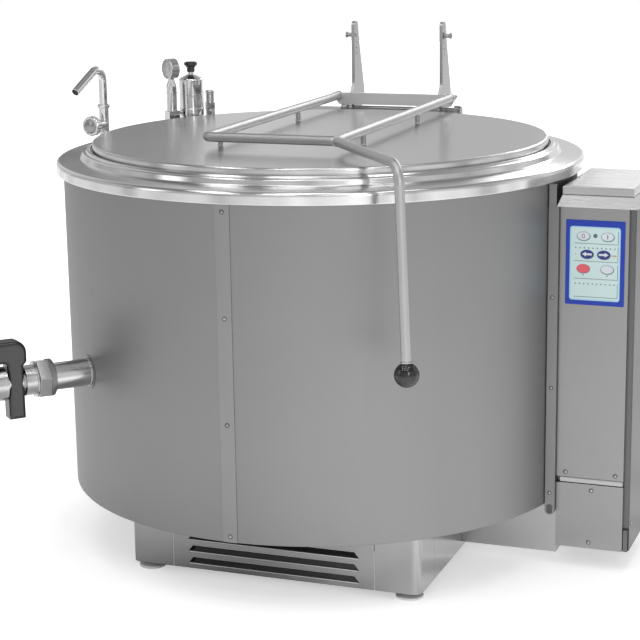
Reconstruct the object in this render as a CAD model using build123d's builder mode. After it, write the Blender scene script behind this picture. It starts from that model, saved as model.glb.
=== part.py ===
from build123d import *
import math
import os

os.makedirs("parts", exist_ok=True)

# ---------------------------------------------------------------- driving dimensions, mm
sheet = 1.5                    # thickness of covers and panels
plate = 3.0                    # thickness of pressed vessel plate
running_fit = 0.05             # radial clearance of a shaft in its bore
loose_fit = 0.3                # clearance round a piece that only passes

# kettle body, radii from the kettle axis and heights from the floor
vessel_radius = 505.0          # inside
jacket_gap = 40.0              # from vessel to the jacket's outside
wool_gap = 40.0                # from jacket to the cladding's outside
jacket_radius = vessel_radius + jacket_gap
cladding_radius = jacket_radius + wool_gap
rim_overhang = 15.0
rim_radius = cladding_radius + rim_overhang
bead_step = 18.5               # ledge the lid rests on
bead_width = 7.5
collar_step = 10.0
bead_inner = vessel_radius + bead_step
bead_radius = bead_inner + bead_width
collar_radius = bead_radius + collar_step

cladding_bottom = 145.0
rim_bottom = 862.0
band_height = 26.0
flange_rise = 5.0
collar_rise = 14.0
bead_rise = 4.5
ledge_rise = 3.0
rim_shoulder = rim_bottom + band_height          # top of the outer band
flange_root = rim_shoulder + flange_rise         # flange height at the collar
collar_shoulder = flange_root + collar_rise
bead_top = collar_shoulder + bead_rise
lid_seat = flange_root + ledge_rise
vessel_floor = 405.0
jacket_depth = 105.0           # jacket floor below the vessel floor
jacket_bottom = vessel_floor - jacket_depth
jacket_top = rim_bottom - 72.0

# base box under the kettle
base_left = -298.0
base_right = 375.0
base_half_depth = 440.0
base_bottom = 17.0
base_corner = 20.0
base_corner_cover = 101.0
louvre_count = 3
louvre_pitch = 27.3
louvre_first = 30.0            # height of the lowest lip
louvre_opening = 14.0
louvre_margin = 37.0           # from the panel's ends to the louvres
frame_tube = 40.0
foot_radius = 30.0
foot_inset = 34.0
foot_stem = 8.0

# lid, hinge and balance arms
lid_gap = 4.5                  # between the lid's skirt and the bead
lid_depth = 30.0
lid_edge = 6.0
lid_radius = bead_inner - lid_gap
lid_top = lid_seat + lid_depth
bar_radius = 10.5
bar_half_span = 150.0
bar_front = 305.0
bar_lift = 30.0
bar_height = lid_top + bar_lift
hinge_drop = 9.0
hinge_out = 0.0                # hinge line behind the rim's edge
hinge_back = rim_radius + hinge_out
hinge_height = lid_top - hinge_drop
hinge_pin = 8.0
plate_depth = 5.0
plate_gap = 57.0
hinge_plate_y = hinge_back - plate_gap
arm_offset = 118.0
arm_thickness = 8.0
arm_rise = 188.0
arm_tip = bar_height + arm_rise
lug_offset = 150.0
handle_radius = 10.0
knob_radius = 25.0

# drain outlet, each length measured along the pipe
drain_angle = -131.7
drain_rise = 41.0
drain_height = vessel_floor + drain_rise
pipe_radius = 30.15
pipe_wall = 2.15
pipe_bore = pipe_radius - pipe_wall
pipe_out = 86.0                # bare pipe outside the cladding
ring_thickness = 11.0
nut_width = 27.0
socket_length = 27.0
handle_leg_depth = 36.0
leg_clearance = 2.0
barrel_length = 78.0
union_start = cladding_radius + pipe_out
union_nut = union_start + ring_thickness
socket_start = union_nut + nut_width
handle_leg = socket_start + socket_length + leg_clearance    # near face of the inner leg
barrel_start = handle_leg + handle_leg_depth + 2 * leg_clearance
barrel_end = barrel_start + barrel_length
plug_radius = 24.0

# fittings on the rim flange
fitting_inset = 30.0
fitting_radius = rim_radius - fitting_inset
fitting_root = flange_root - 13
tap_angle = 176.4
tap_facing = -100.0
safety_angle = 145.2

# control column
column_gap = 7.0               # from the cladding
column_width = 161.0
column_left = cladding_radius + column_gap
column_right = column_left + column_width
column_front = -130.0
column_back = 130.0
column_bottom = 48.0
column_top = 815.0
panel_margin = 13.0
panel_right = column_right - panel_margin
lower_panel = 147.0
panel_gap = 14.0
panel_split_low = column_bottom + lower_panel
panel_split_high = panel_split_low + panel_gap
cap_height = 39.0
cap_side = 18.0
skirt_height = 25.0
cover_top = column_top + cap_height
cover_bend = cover_top - cap_side
cover_bottom = cover_bend - skirt_height
keypad_width = 127.0
keypad_tall = 184.0
keypad_drop = 33.0
keypad_left = column_left + panel_margin
keypad_right = keypad_left + keypad_width
keypad_top = column_top - keypad_drop
keypad_bottom = keypad_top - keypad_tall
keypad_depth = 1.2
key_travel = 0.3

# rear hinge housing
housing_half = 165.0
housing_depth = 90.0           # behind the rim's edge
housing_height = 230.0
side_box_width = 120.0
side_box_rise = 40.0
housing_back = rim_radius + housing_depth
housing_top = rim_bottom + 8.0
housing_bottom = housing_top - housing_height
side_box_left = -housing_half - side_box_width
side_box_top = housing_top + side_box_rise

# ---------------------------------------------------------------- frame: floor centre of the box
drain_dx = math.cos(math.radians(drain_angle))
drain_dy = math.sin(math.radians(drain_angle))
handle_gap = 12.0              # from the barrel to the outer leg
handle_round = 9.0             # rounding of the handle's grip
leg_half = 22.0
handle_end = barrel_end + handle_gap + handle_leg_depth
corner_loss = handle_round * (abs(drain_dx) + abs(drain_dy) - 1)
drain_reach_x = handle_end * drain_dx + leg_half * drain_dy + corner_loss
drain_reach_y = handle_end * drain_dy + leg_half * drain_dx + corner_loss
cap_inset = 3.0                # cover behind the column's right face
flare = 10.0                   # spread of the cover's skirt
cap_right = column_right - cap_inset
kettle_x = -(cap_right + flare + drain_reach_x) / 2
kettle_y = -(housing_back + drain_reach_y) / 2


def flat(height, x=0.0, y=0.0, turn=0.0):
    """Horizontal plane at a height, placed from the kettle axis."""
    a = math.radians(turn)
    return Plane(origin=(kettle_x + x, kettle_y + y, height),
                 x_dir=(math.cos(a), math.sin(a), 0), z_dir=(0, 0, 1))


def radial(angle=0.0, x=0.0, y=0.0):
    """Upright plane: local x outward along the angle, local y up."""
    a = math.radians(angle)
    return Plane(origin=(kettle_x + x, kettle_y + y, 0),
                 x_dir=(math.cos(a), math.sin(a), 0), z_dir=(math.sin(a), -math.cos(a), 0))


def facing(angle, distance, height=0.0, x=0.0, y=0.0):
    """Upright plane whose normal points along the angle, at a distance out."""
    a = math.radians(angle)
    return Plane(origin=(kettle_x + x + distance * math.cos(a),
                         kettle_y + y + distance * math.sin(a), height),
                 x_dir=(-math.sin(a), math.cos(a), 0), z_dir=(math.cos(a), math.sin(a), 0))


def stem(x=0.0, y=0.0):
    """Vertical axis placed from the kettle axis."""
    return Axis((kettle_x + x, kettle_y + y, 0), (0, 0, 1))


kettle_axis = stem()


def rounded_outline(corners):
    """Closed outline through (x, y, corner radius) corners."""
    count = len(corners)
    joints = []
    for i in range(count):
        here = Vector(corners[i][0], corners[i][1])
        radius = corners[i][2] if len(corners[i]) > 2 else 0
        if radius == 0:
            joints.append((here, here))
            continue
        before = Vector(corners[i - 1][0], corners[i - 1][1])
        after = Vector(corners[(i + 1) % count][0], corners[(i + 1) % count][1])
        u = (before - here).normalized()
        w = (after - here).normalized()
        half = math.acos(max(-1.0, min(1.0, u.dot(w)))) / 2
        cut = radius / math.tan(half)
        start = here + u * cut
        end = here + w * cut
        centre = here + (u + w).normalized() * (radius / math.sin(half))
        middle = centre - (u + w).normalized() * radius
        ThreePointArc(start, middle, end)
        joints.append((start, end))
    for i in range(count):
        a = joints[i][1]
        b = joints[(i + 1) % count][0]
        if (b - a).length > 1e-6:
            Line(a, b)


def turned(corners, place=None, axis=None, arc=360.0, mode=Mode.ADD):
    """Turned or spun shape from its outline of (radius, height, corner radius)."""
    with BuildSketch(place or radial()) as profile:
        with BuildLine():
            rounded_outline(corners)
        make_face()
    revolve(profile.sketch, axis=axis or kettle_axis, revolution_arc=arc, mode=mode)


def column_of(place, radius, depth, mode=Mode.ADD, both=False):
    """Round bar or round hole from a plane along its normal."""
    with BuildSketch(place) as disc:
        Circle(radius)
    extrude(disc.sketch, amount=depth, both=both, mode=mode)


def block(x0, x1, y0, y1, z0, z1, mode=Mode.ADD):
    """Square-cornered block between kettle coordinates."""
    with BuildSketch(flat(z0)) as area:
        with Locations(((x0 + x1) / 2, (y0 + y1) / 2)):
            Rectangle(abs(x1 - x0), abs(y1 - y0))
    extrude(area.sketch, amount=z1 - z0, mode=mode)


def keep(piece, name):
    """Name a piece and write its file."""
    piece.part.label = name
    export_step(piece.part, "parts/" + name + ".step")


def cut_below_flange():
    """Shape a fitting's foot to the sloping rim flange."""
    turned([(collar_radius + 5, rim_bottom), (rim_radius, rim_bottom), (rim_radius, rim_shoulder),
            (collar_radius + 5, flange_root)], mode=Mode.SUBTRACT)


def screw_heads(places, head_radius, head_height, shank_radius, shank_length):
    """Pan head screws, one at each plane."""
    for place in places:
        column_of(place, head_radius, head_height)
        column_of(place, shank_radius, -shank_length)


def screw_holes(places, shank_radius, depth):
    """Clearance-free holes that take the shanks."""
    for place in places:
        column_of(place, shank_radius, depth, mode=Mode.SUBTRACT, both=True)


screw_shank = 2.0
screw_head = 3.6
screw_rise = 1.8

# ---------------------------------------------------------------- inner vessel and jacket
pipe_start = vessel_radius - 75.0
drain_hole_plane = facing(drain_angle, pipe_start - 30, drain_height)

floor_fall = 10.0              # slope of the floor to its middle
knuckle = 50.0                 # round between floor and wall
floor_margin = 61.0            # from the wall to the seam round the flat floor
floor_weld = vessel_radius - floor_margin
floor_top = vessel_floor + floor_fall * floor_weld / vessel_radius
floor_under = vessel_floor - plate + floor_fall * floor_weld / (vessel_radius + plate)
vessel_weld = drain_height + pipe_radius + 12    # seam between the pressed ring and the wall

with BuildPart() as floor_disc:
    turned([(0, vessel_floor - plate), (floor_weld, floor_under), (floor_weld, floor_top),
            (0, vessel_floor)])

with BuildPart() as vessel_bottom:
    turned([(floor_weld, floor_under),
            (vessel_radius + plate, vessel_floor - plate + floor_fall, knuckle + plate),
            (vessel_radius + plate, vessel_weld), (vessel_radius, vessel_weld),
            (vessel_radius, vessel_floor + floor_fall, knuckle), (floor_weld, floor_top)])
    column_of(drain_hole_plane, pipe_bore, 150, mode=Mode.SUBTRACT)
vessel_bottom.part = Compound(children=[floor_disc.solid(), vessel_bottom.solid()])
keep(vessel_bottom, "vessel_bottom")

with BuildPart() as vessel_wall:
    turned([(vessel_radius, vessel_weld), (vessel_radius + plate, vessel_weld),
            (vessel_radius + plate, lid_seat - plate), (vessel_radius, lid_seat - plate)])
keep(vessel_wall, "vessel_wall")

heater_height = jacket_bottom + 60.0
heater_plug = 60.0
heater_plate = 85.0
with BuildPart() as jacket_shell:
    turned([(0, jacket_bottom), (jacket_radius, jacket_bottom, 43), (jacket_radius, jacket_top),
            (vessel_radius + plate, jacket_top), (vessel_radius + plate, jacket_top - plate),
            (jacket_radius - plate, jacket_top - plate),
            (jacket_radius - plate, jacket_bottom + plate, 40), (0, jacket_bottom + plate)])
    column_of(facing(drain_angle, pipe_start, drain_height), pipe_radius, 190, mode=Mode.SUBTRACT)
    column_of(facing(90, vessel_radius - 5, heater_height), heater_plug, 100, mode=Mode.SUBTRACT)
keep(jacket_shell, "jacket_shell")

with BuildPart() as heater:
    column_of(facing(90, jacket_radius - 8, heater_height), heater_plug, 8)
    column_of(facing(90, jacket_radius, heater_height), heater_plate, 12)
    for row in (-24, 0, 24):
        rod_plane = flat(heater_height + row)
        with BuildLine(rod_plane):
            FilletPolyline((-30, jacket_radius - 8), (-30, 120 - vessel_radius), (30, 120 - vessel_radius),
                           (30, jacket_radius - 8), radius=29)
        with BuildSketch(facing(-90, 8 - jacket_radius, heater_height + row, x=-30)):
            Circle(5)
        sweep()
keep(heater, "heater")

insulation_inner = jacket_radius + 0.5
with BuildPart() as insulation:
    wool_outer = cladding_radius - sheet - 0.5
    turned([(insulation_inner, cladding_bottom + 55), (wool_outer, cladding_bottom + 55),
            (wool_outer, rim_bottom - 12), (insulation_inner, rim_bottom - 12)])
    column_of(facing(drain_angle, vessel_radius, drain_height), pipe_radius + 2, 150,
              mode=Mode.SUBTRACT)
    column_of(facing(90, vessel_radius, heater_height), heater_plate + 10, 120, mode=Mode.SUBTRACT)
keep(insulation, "insulation")

# ---------------------------------------------------------------- rim ring
with BuildPart() as rim_ring:
    wall = 2.5
    turned([(cladding_radius, rim_bottom), (rim_radius, rim_bottom, 2),
            (rim_radius, rim_shoulder, 9), (collar_radius + 5, flange_root, 4),
            (collar_radius, collar_shoulder - 1, 5), (bead_radius + 3.5, collar_shoulder + 0.5, 2),
            (bead_radius, bead_top, 2.4), (bead_inner, bead_top, 2.4),
            (bead_inner, lid_seat, 1), (vessel_radius, lid_seat, 1.5),
            (vessel_radius, lid_seat - plate), (bead_inner + wall, lid_seat - plate, 2),
            (bead_inner + wall, bead_top - wall, 1), (bead_radius - wall, bead_top - wall, 1),
            (bead_radius, collar_shoulder - wall, 2), (collar_radius - wall, collar_shoulder - 4, 3),
            (collar_radius + 5 - wall, flange_root - wall - 0.3, 5),
            (rim_radius - wall, rim_shoulder - wall, 6.5),
            (rim_radius - wall, rim_bottom + wall), (cladding_radius, rim_bottom + wall)])
keep(rim_ring, "rim_ring")

# ---------------------------------------------------------------- cladding
seam_width = 32.0
seam_angle = -90 + math.degrees(6.0 / cladding_radius)
rear_seam = 90.0
seam_heights = [cladding_bottom + 13, cladding_bottom + 255, rim_bottom - 237, rim_bottom - 17]
front_screws = [facing(seam_angle, cladding_radius + sheet, h) for h in seam_heights]
rear_heights = [cladding_bottom + 13, cladding_bottom + 255, housing_bottom - 20]
rear_screws = [facing(rear_seam, cladding_radius + sheet, h) for h in rear_heights]


def cladding_half(start, sweep_arc):
    turned([(cladding_radius - sheet, cladding_bottom), (cladding_radius, cladding_bottom),
            (cladding_radius, rim_bottom + wall), (cladding_radius - sheet, rim_bottom + wall)],
           place=radial(start), arc=sweep_arc)


left_arc = 360 + seam_angle - rear_seam
with BuildPart() as cladding_left:
    cladding_half(rear_seam, left_arc)
    column_of(facing(drain_angle, jacket_radius, drain_height), pipe_radius, 100,
              mode=Mode.SUBTRACT)
    screw_holes(front_screws + rear_screws, screw_shank, 6)
keep(cladding_left, "cladding_left")

with BuildPart() as cladding_right:
    cladding_half(seam_angle, 360 - left_arc)
    screw_holes(front_screws + rear_screws, screw_shank, 6)
    column_of(facing(0, jacket_radius + 15, 700), 22, 60, mode=Mode.SUBTRACT)
keep(cladding_right, "cladding_right")


def seam_cover(centre, top):
    half = math.degrees(seam_width / 2 / cladding_radius)
    turned([(cladding_radius, cladding_bottom), (cladding_radius + sheet, cladding_bottom),
            (cladding_radius + sheet, top), (cladding_radius, top)],
           place=radial(centre - half), arc=2 * half)


with BuildPart() as seam_strips:
    seam_cover(seam_angle, rim_bottom)
    seam_cover(rear_seam, housing_bottom)
    screw_holes(front_screws + rear_screws, screw_shank, 6)
keep(seam_strips, "seam_strips")

with BuildPart() as cladding_floor:
    column_of(flat(cladding_bottom), cladding_radius - sheet, sheet)
    block(-150, 150, -150, 150, cladding_bottom - 1, cladding_bottom + 5, mode=Mode.SUBTRACT)
keep(cladding_floor, "cladding_floor")

support_pitch = 540.0
with BuildPart() as jacket_supports:
    with BuildSketch(flat(cladding_bottom + sheet)):
        with GridLocations(support_pitch, support_pitch, 2, 2):
            Rectangle(frame_tube, frame_tube)
            Rectangle(frame_tube - 2 * plate, frame_tube - 2 * plate, mode=Mode.SUBTRACT)
    extrude(amount=jacket_bottom - cladding_bottom - sheet)
keep(jacket_supports, "jacket_supports")

# ---------------------------------------------------------------- base box
base_width = base_right - base_left
base_centre = (base_right + base_left) / 2
base_depth = 2 * base_half_depth
joint_gap = 1.5
foot_places = [(x, y) for x in (base_left + foot_inset, base_right - foot_inset)
               for y in (-base_half_depth + foot_inset, base_half_depth - foot_inset)]
frame_bottom = base_bottom + 8

with BuildPart() as base_frame:
    with BuildSketch(flat(cladding_bottom - frame_tube)):
        with Locations((base_centre, 0)):
            Rectangle(base_width - 2 * sheet, base_depth - 2 * sheet)
            Rectangle(base_width - 2 * sheet - 2 * frame_tube, base_depth - 2 * sheet - 2 * frame_tube,
                      mode=Mode.SUBTRACT)
    extrude(amount=frame_tube)
    with BuildSketch(flat(frame_bottom)):
        with Locations((base_centre, 0)):
            with GridLocations(base_width - 2 * sheet - frame_tube,
                               base_depth - 2 * sheet - frame_tube, 2, 2):
                Rectangle(frame_tube, frame_tube)
    extrude(amount=cladding_bottom - frame_tube - frame_bottom)
    outer_x = base_width / 2 - sheet
    outer_y = base_half_depth - sheet
    fillet([e for e in base_frame.edges().filter_by(Axis.Z)
            if abs(abs(e.center().X - kettle_x - base_centre) - outer_x) < 0.01
            and abs(abs(e.center().Y - kettle_y) - outer_y) < 0.01], radius=base_corner - sheet)
    with BuildSketch(flat(frame_bottom)):
        with Locations(*foot_places):
            Circle(foot_stem + running_fit)
    extrude(amount=72, mode=Mode.SUBTRACT)
keep(base_frame, "base_frame")


def base_wall(x0, x1, y0, y1):
    """Part of the folded base skin that falls inside a rectangle."""
    with BuildSketch(flat(base_bottom)) as skin:
        with Locations((base_centre, 0)):
            RectangleRounded(base_width, base_depth, base_corner)
            RectangleRounded(base_width - 2 * sheet, base_depth - 2 * sheet,
                             base_corner - sheet, mode=Mode.SUBTRACT)
        with Locations(((x0 + x1) / 2, (y0 + y1) / 2)):
            Rectangle(x1 - x0, y1 - y0, mode=Mode.INTERSECT)
    extrude(skin.sketch, amount=cladding_bottom - base_bottom)


cover_in_left = base_left + base_corner_cover
cover_in_right = base_right - base_corner_cover
cover_in_depth = base_half_depth - base_corner_cover
far = 1000.0
with BuildPart() as base_corners:
    for x0, x1 in ((-far, cover_in_left), (cover_in_right, far)):
        for y0, y1 in ((-far, -cover_in_depth), (cover_in_depth, far)):
            base_wall(x0, x1, y0, y1)
keep(base_corners, "base_corners")

with BuildPart() as louvre_panel:
    base_wall(cover_in_left + joint_gap, cover_in_right - joint_gap, -far, -base_half_depth + 10)
    louvre_centre = (cover_in_left + cover_in_right) / 2 + 1.5
    louvre_length = cover_in_right - cover_in_left - 2 * louvre_margin
    for number in range(louvre_count):
        lip = louvre_first + number * louvre_pitch
        with BuildSketch(Plane(origin=(kettle_x, kettle_y - base_half_depth, 0),
                               x_dir=(1, 0, 0), z_dir=(0, -1, 0))):
            with BuildLine():
                half = louvre_length / 2
                rounded_outline([(louvre_centre - half, lip, 1), (louvre_centre + half, lip, 1),
                                 (louvre_centre + half - louvre_opening * 0.8,
                                  lip + louvre_opening, 2),
                                 (louvre_centre - half + louvre_opening * 0.8,
                                  lip + louvre_opening, 2)])
            make_face()
        extrude(amount=5, both=True, mode=Mode.SUBTRACT)
        with BuildSketch(Plane(origin=(kettle_x + louvre_centre - half, kettle_y, 0),
                               x_dir=(0, 1, 0), z_dir=(1, 0, 0))):
            with BuildLine():
                edge = -base_half_depth
                rounded_outline([(edge - 1.8, lip - 2.2, 0.9), (edge - 1.8, lip + 0.6, 0.9),
                                 (edge + 0.4, lip + 0.6, 0.5),
                                 (edge + 12, lip + louvre_opening * 0.62, 0),
                                 (edge + 12.8, lip + louvre_opening * 0.62 - 1.3, 0),
                                 (edge + sheet, lip - 1.4, 0.5), (edge + sheet, lip - 2.2, 0)])
            make_face()
        extrude(amount=louvre_length)
keep(louvre_panel, "louvre_panel")

duct_front = column_front + 5
duct_back = duct_front + 100
duct_bottom = base_bottom + 13
duct_top = cladding_bottom

with BuildPart() as base_panels:
    base_wall(-far, base_left + 10, -cover_in_depth + joint_gap, cover_in_depth - joint_gap)
    base_wall(base_right - 10, far, -cover_in_depth + joint_gap, cover_in_depth - joint_gap)
    block(base_right - 20, base_right + 20, duct_front + sheet, duct_back - sheet,
          duct_bottom + sheet, duct_top - sheet, mode=Mode.SUBTRACT)
    base_wall(cover_in_left + joint_gap, cover_in_right - joint_gap, base_half_depth - 10, far)
    for number in range(4):
        block(-60, 140, base_half_depth - 20, base_half_depth + 20,
              40 + number * 18, 46 + number * 18, mode=Mode.SUBTRACT)
keep(base_panels, "base_panels")

for number, (foot_x, foot_y) in enumerate(foot_places):
    with BuildPart() as foot:
        turned([(0, 0), (foot_radius, 0, 1.5), (foot_radius, 5, 1.5), (13, 11), (13, 15),
                (foot_stem, 15), (foot_stem, 74, 2), (0, 74)],
               place=radial(0, foot_x, foot_y), axis=stem(foot_x, foot_y))
    keep(foot, "foot_" + ("front_left", "rear_left", "front_right", "rear_right")[number])

with BuildPart() as cable_duct:
    block(base_right, column_left, duct_front, duct_back, duct_bottom, duct_top)
    block(base_right - 1, column_left + 1, duct_front + sheet, duct_back - sheet,
          duct_bottom + sheet, duct_top - sheet, mode=Mode.SUBTRACT)
    block(column_left - sheet, column_left, duct_front, duct_back, duct_bottom, column_bottom)
keep(cable_duct, "cable_duct")

# ---------------------------------------------------------------- drain outlet
ring_radius = pipe_radius + 10.85
with BuildPart() as drain_pipe:
    column_of(facing(drain_angle, pipe_start, drain_height), pipe_radius, union_start - pipe_start)
    column_of(facing(drain_angle, union_start, drain_height), ring_radius, ring_thickness)
    fillet(drain_pipe.edges().filter_by(GeomType.CIRCLE).group_by(SortBy.LENGTH)[-1], radius=1.5)
    turned([(0, vessel_floor - plate),
            (vessel_radius + plate, vessel_floor - plate + floor_fall, knuckle + plate),
            (vessel_radius + plate, lid_seat), (0, lid_seat)], mode=Mode.SUBTRACT)
    column_of(drain_hole_plane, pipe_bore, union_nut - pipe_start + 31, mode=Mode.SUBTRACT)

escutcheon_lap = 8.0           # of the cover ring round the pipe
escutcheon_radius = pipe_radius + escutcheon_lap
with BuildPart() as drain_escutcheon:
    disc_low = drain_height - escutcheon_radius - 16
    disc_high = drain_height + escutcheon_radius + 16
    turned([(cladding_radius, disc_low), (cladding_radius + sheet, disc_low),
            (cladding_radius + sheet, disc_high), (cladding_radius, disc_high)],
           place=radial(drain_angle - 8), arc=16)
    column_of(facing(drain_angle, jacket_radius + 15, drain_height), escutcheon_radius, 60,
              mode=Mode.INTERSECT)
    column_of(facing(drain_angle, jacket_radius + 15, drain_height), pipe_radius, 60,
              mode=Mode.SUBTRACT)
drain_pipe.part = Compound(children=[drain_pipe.solid(), drain_escutcheon.solid()])
keep(drain_pipe, "drain_pipe")

with BuildPart() as drain_union_nut:
    with BuildSketch(facing(drain_angle, union_nut, drain_height)):
        RegularPolygon(radius=ring_radius - 2, side_count=6, major_radius=False, rotation=12)
        Circle(pipe_radius - 4, mode=Mode.SUBTRACT)
    extrude(amount=nut_width)
    chamfer(drain_union_nut.edges().filter_by(
        facing(drain_angle, union_nut, drain_height)).group_by(SortBy.LENGTH)[0], length=0.6)
keep(drain_union_nut, "drain_union_nut")

barrel_radius = plug_radius + 13
neck_radius = 21.0
outlet_centre = (barrel_start + 6 + barrel_end) / 2
outlet_x = outlet_centre * drain_dx
outlet_y = outlet_centre * drain_dy
outlet_radius = 27.0
outlet_bore = 22.0             # socket that takes the customer's pipe
outlet_socket = 40.0
outlet_bottom = drain_height - 78.0
plug_start = barrel_start + 8
with BuildPart() as drain_valve_body:
    column_of(facing(drain_angle, socket_start, drain_height), pipe_radius + 2.85, socket_length)
    column_of(facing(drain_angle, socket_start, drain_height), neck_radius,
              barrel_start - socket_start)
    column_of(facing(drain_angle, barrel_start, drain_height), barrel_radius,
              barrel_length)
    column_of(flat(outlet_bottom, outlet_x, outlet_y), outlet_radius, drain_height - outlet_bottom)
    column_of(flat(outlet_bottom, outlet_x, outlet_y), outlet_bore, outlet_socket,
              mode=Mode.SUBTRACT)
    column_of(flat(outlet_bottom, outlet_x, outlet_y), 14, drain_height - outlet_bottom,
              mode=Mode.SUBTRACT)
    column_of(facing(drain_angle, socket_start - 1, drain_height), 15, 100, mode=Mode.SUBTRACT)
    column_of(facing(drain_angle, plug_start, drain_height), plug_radius + running_fit, 100,
              mode=Mode.SUBTRACT)
keep(drain_valve_body, "drain_valve_body")

plug_stem = 12.0
with BuildPart() as drain_plug:
    column_of(facing(drain_angle, plug_start, drain_height), plug_radius, barrel_end - plug_start)
    column_of(facing(drain_angle, barrel_end, drain_height), plug_stem,
              handle_gap + handle_leg_depth + 2)
    column_of(facing(drain_angle, plug_start - 1, drain_height), 14,
              outlet_centre - plug_start + 12, mode=Mode.SUBTRACT)
    column_of(flat(drain_height - 60, outlet_x, outlet_y), 13, 60, mode=Mode.SUBTRACT)
keep(drain_plug, "drain_plug")

leg_bottom = drain_height - 79.0
grip_gap = 9.0
grip_bottom = drain_height + barrel_radius + grip_gap
grip_top = grip_bottom + 48
outer_leg = barrel_end + handle_gap
with BuildPart() as drain_handle:
    leg_plane = facing(drain_angle + 90, -leg_half)
    with BuildSketch(leg_plane):
        with BuildLine():
            rounded_outline([(-handle_leg, leg_bottom, 2), (-handle_leg - handle_leg_depth, leg_bottom, 2),
                             (-handle_leg - handle_leg_depth, grip_bottom, 8),
                             (-outer_leg, grip_bottom, 8), (-outer_leg, drain_height - 30, 6),
                             (-handle_end, drain_height - 30, 6), (-handle_end, grip_top, 26),
                             (-handle_leg + 8, grip_top, 26), (-handle_leg + 8, grip_bottom, 8),
                             (-handle_leg, grip_bottom - 8, 3)])
        make_face()
    extrude(amount=2 * leg_half)
    fillet(drain_handle.edges().filter_by(lambda e: e.center().Z > grip_top - 20),
           radius=handle_round)
    column_of(facing(drain_angle, handle_leg - 5, drain_height), neck_radius + loose_fit,
              handle_leg_depth + 10, mode=Mode.SUBTRACT)
    column_of(facing(drain_angle, outer_leg - 5, drain_height), plug_stem,
              handle_leg_depth + 10, mode=Mode.SUBTRACT)
keep(drain_handle, "drain_handle")

# ---------------------------------------------------------------- filling tap on the rim
tap_x = fitting_radius * math.cos(math.radians(tap_angle))
tap_y = fitting_radius * math.sin(math.radians(tap_angle))
tap_collar = flange_root + 85
tap_socket = tap_collar - 23
tap_side = radial(tap_facing, tap_x, tap_y)
tap_axis = stem(tap_x, tap_y)
knob_height = flange_root + 38
spigot = 8.0
tap_knob_radius = 23.5
with BuildPart() as tap_body:
    turned([(0, fitting_root), (19, fitting_root), (19, flange_root + 4, 3),
            (12, flange_root + 7, 2), (12, tap_collar - 10),
            (14.5, tap_collar - 9, 1), (14.5, tap_collar, 1), (0, tap_collar)],
           place=tap_side, axis=tap_axis)
    column_of(facing(tap_facing, 0, knob_height, tap_x, tap_y), 11, 32)
    turned([(0, tap_socket), (spigot + running_fit, tap_socket),
            (spigot + running_fit, tap_collar + 1), (0, tap_collar + 1)],
           place=tap_side, axis=tap_axis, mode=Mode.SUBTRACT)
    column_of(facing(tap_facing, 12, knob_height, tap_x, tap_y), 4 + running_fit, 30,
              mode=Mode.SUBTRACT)
    cut_below_flange()
keep(tap_body, "tap_body")

with BuildPart() as tap_knob:
    column_of(facing(tap_facing, 16, knob_height, tap_x, tap_y), 4, 20)
    column_of(facing(tap_facing, 34, knob_height, tap_x, tap_y), 12, 6)
    column_of(facing(tap_facing, 40, knob_height, tap_x, tap_y), tap_knob_radius, 16)
    chamfer(tap_knob.edges().filter_by(GeomType.CIRCLE).group_by(SortBy.LENGTH)[-1], length=1.5)
    with BuildSketch(facing(tap_facing, 39, knob_height, tap_x, tap_y)):
        with PolarLocations(tap_knob_radius + 2.4, 12):
            Circle(3)
    extrude(amount=18, mode=Mode.SUBTRACT)
    column_of(facing(tap_facing, 54.5, knob_height, tap_x, tap_y), tap_knob_radius - 6, 4,
              mode=Mode.SUBTRACT)
keep(tap_knob, "tap_knob")

spout_reach = 107.0
spout_end = tap_collar + 39
spout_peak = tap_collar + 102
with BuildPart() as tap_spout:
    with BuildLine(tap_side):
        FilletPolyline((0, tap_collar + 0.2), (0, spout_peak), (spout_reach, spout_end), radius=25)
    with BuildSketch(flat(tap_collar + 0.2, tap_x, tap_y)):
        Circle(10)
        Circle(8.5, mode=Mode.SUBTRACT)
    sweep()
    turned([(0, tap_socket + 0.5), (spigot, tap_socket + 0.5), (spigot, tap_collar + 0.2),
            (9.2, tap_collar + 0.2), (9.2, tap_collar + 3), (5, tap_collar + 3),
            (5, tap_socket + 0.5)][1:],
           place=tap_side, axis=tap_axis)
keep(tap_spout, "tap_spout")

# ---------------------------------------------------------------- safety fittings on the rim
safety_x = fitting_radius * math.cos(math.radians(safety_angle))
safety_y = fitting_radius * math.sin(math.radians(safety_angle))
safety_turn = safety_angle - 90
manifold_length = 148.0
manifold_width = 26.0
gauge_offset = -58.0
vacuum_offset = 54.0
manifold_top = flange_root + 21
pedestal_top = manifold_top + 23
gauge_height = manifold_top + 128
gauge_radius = 26.0
stem_top = gauge_height - gauge_radius + 2


def along(offset):
    a = math.radians(safety_turn)
    return safety_x + offset * math.cos(a), safety_y + offset * math.sin(a)


def post(offset, corners, mode=Mode.ADD):
    """Turned fitting on the manifold at a distance along it."""
    x, y = along(offset)
    turned(corners, place=radial(safety_turn, x, y), axis=stem(x, y), mode=mode)


with BuildPart() as safety_manifold:
    with BuildSketch(flat(fitting_root, safety_x, safety_y, safety_turn)):
        with Locations((-2, 0)):
            RectangleRounded(manifold_length, manifold_width, 6)
    extrude(amount=manifold_top - fitting_root)
    with BuildSketch(flat(manifold_top, safety_x, safety_y, safety_turn)):
        with Locations((gauge_offset, 0)):
            Rectangle(30, manifold_width)
    extrude(amount=pedestal_top - manifold_top)
    cut_below_flange()
    post(gauge_offset, [(0, pedestal_top), (13, pedestal_top, 1), (13, stem_top - 19),
                        (8, stem_top - 4), (8, stem_top), (0, stem_top)])
    gx, gy = along(gauge_offset)
    column_of(facing(safety_turn + 180, -12, gauge_height, gx, gy),
              gauge_radius + loose_fit, 25, mode=Mode.SUBTRACT)
keep(safety_manifold, "safety_manifold")

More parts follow.
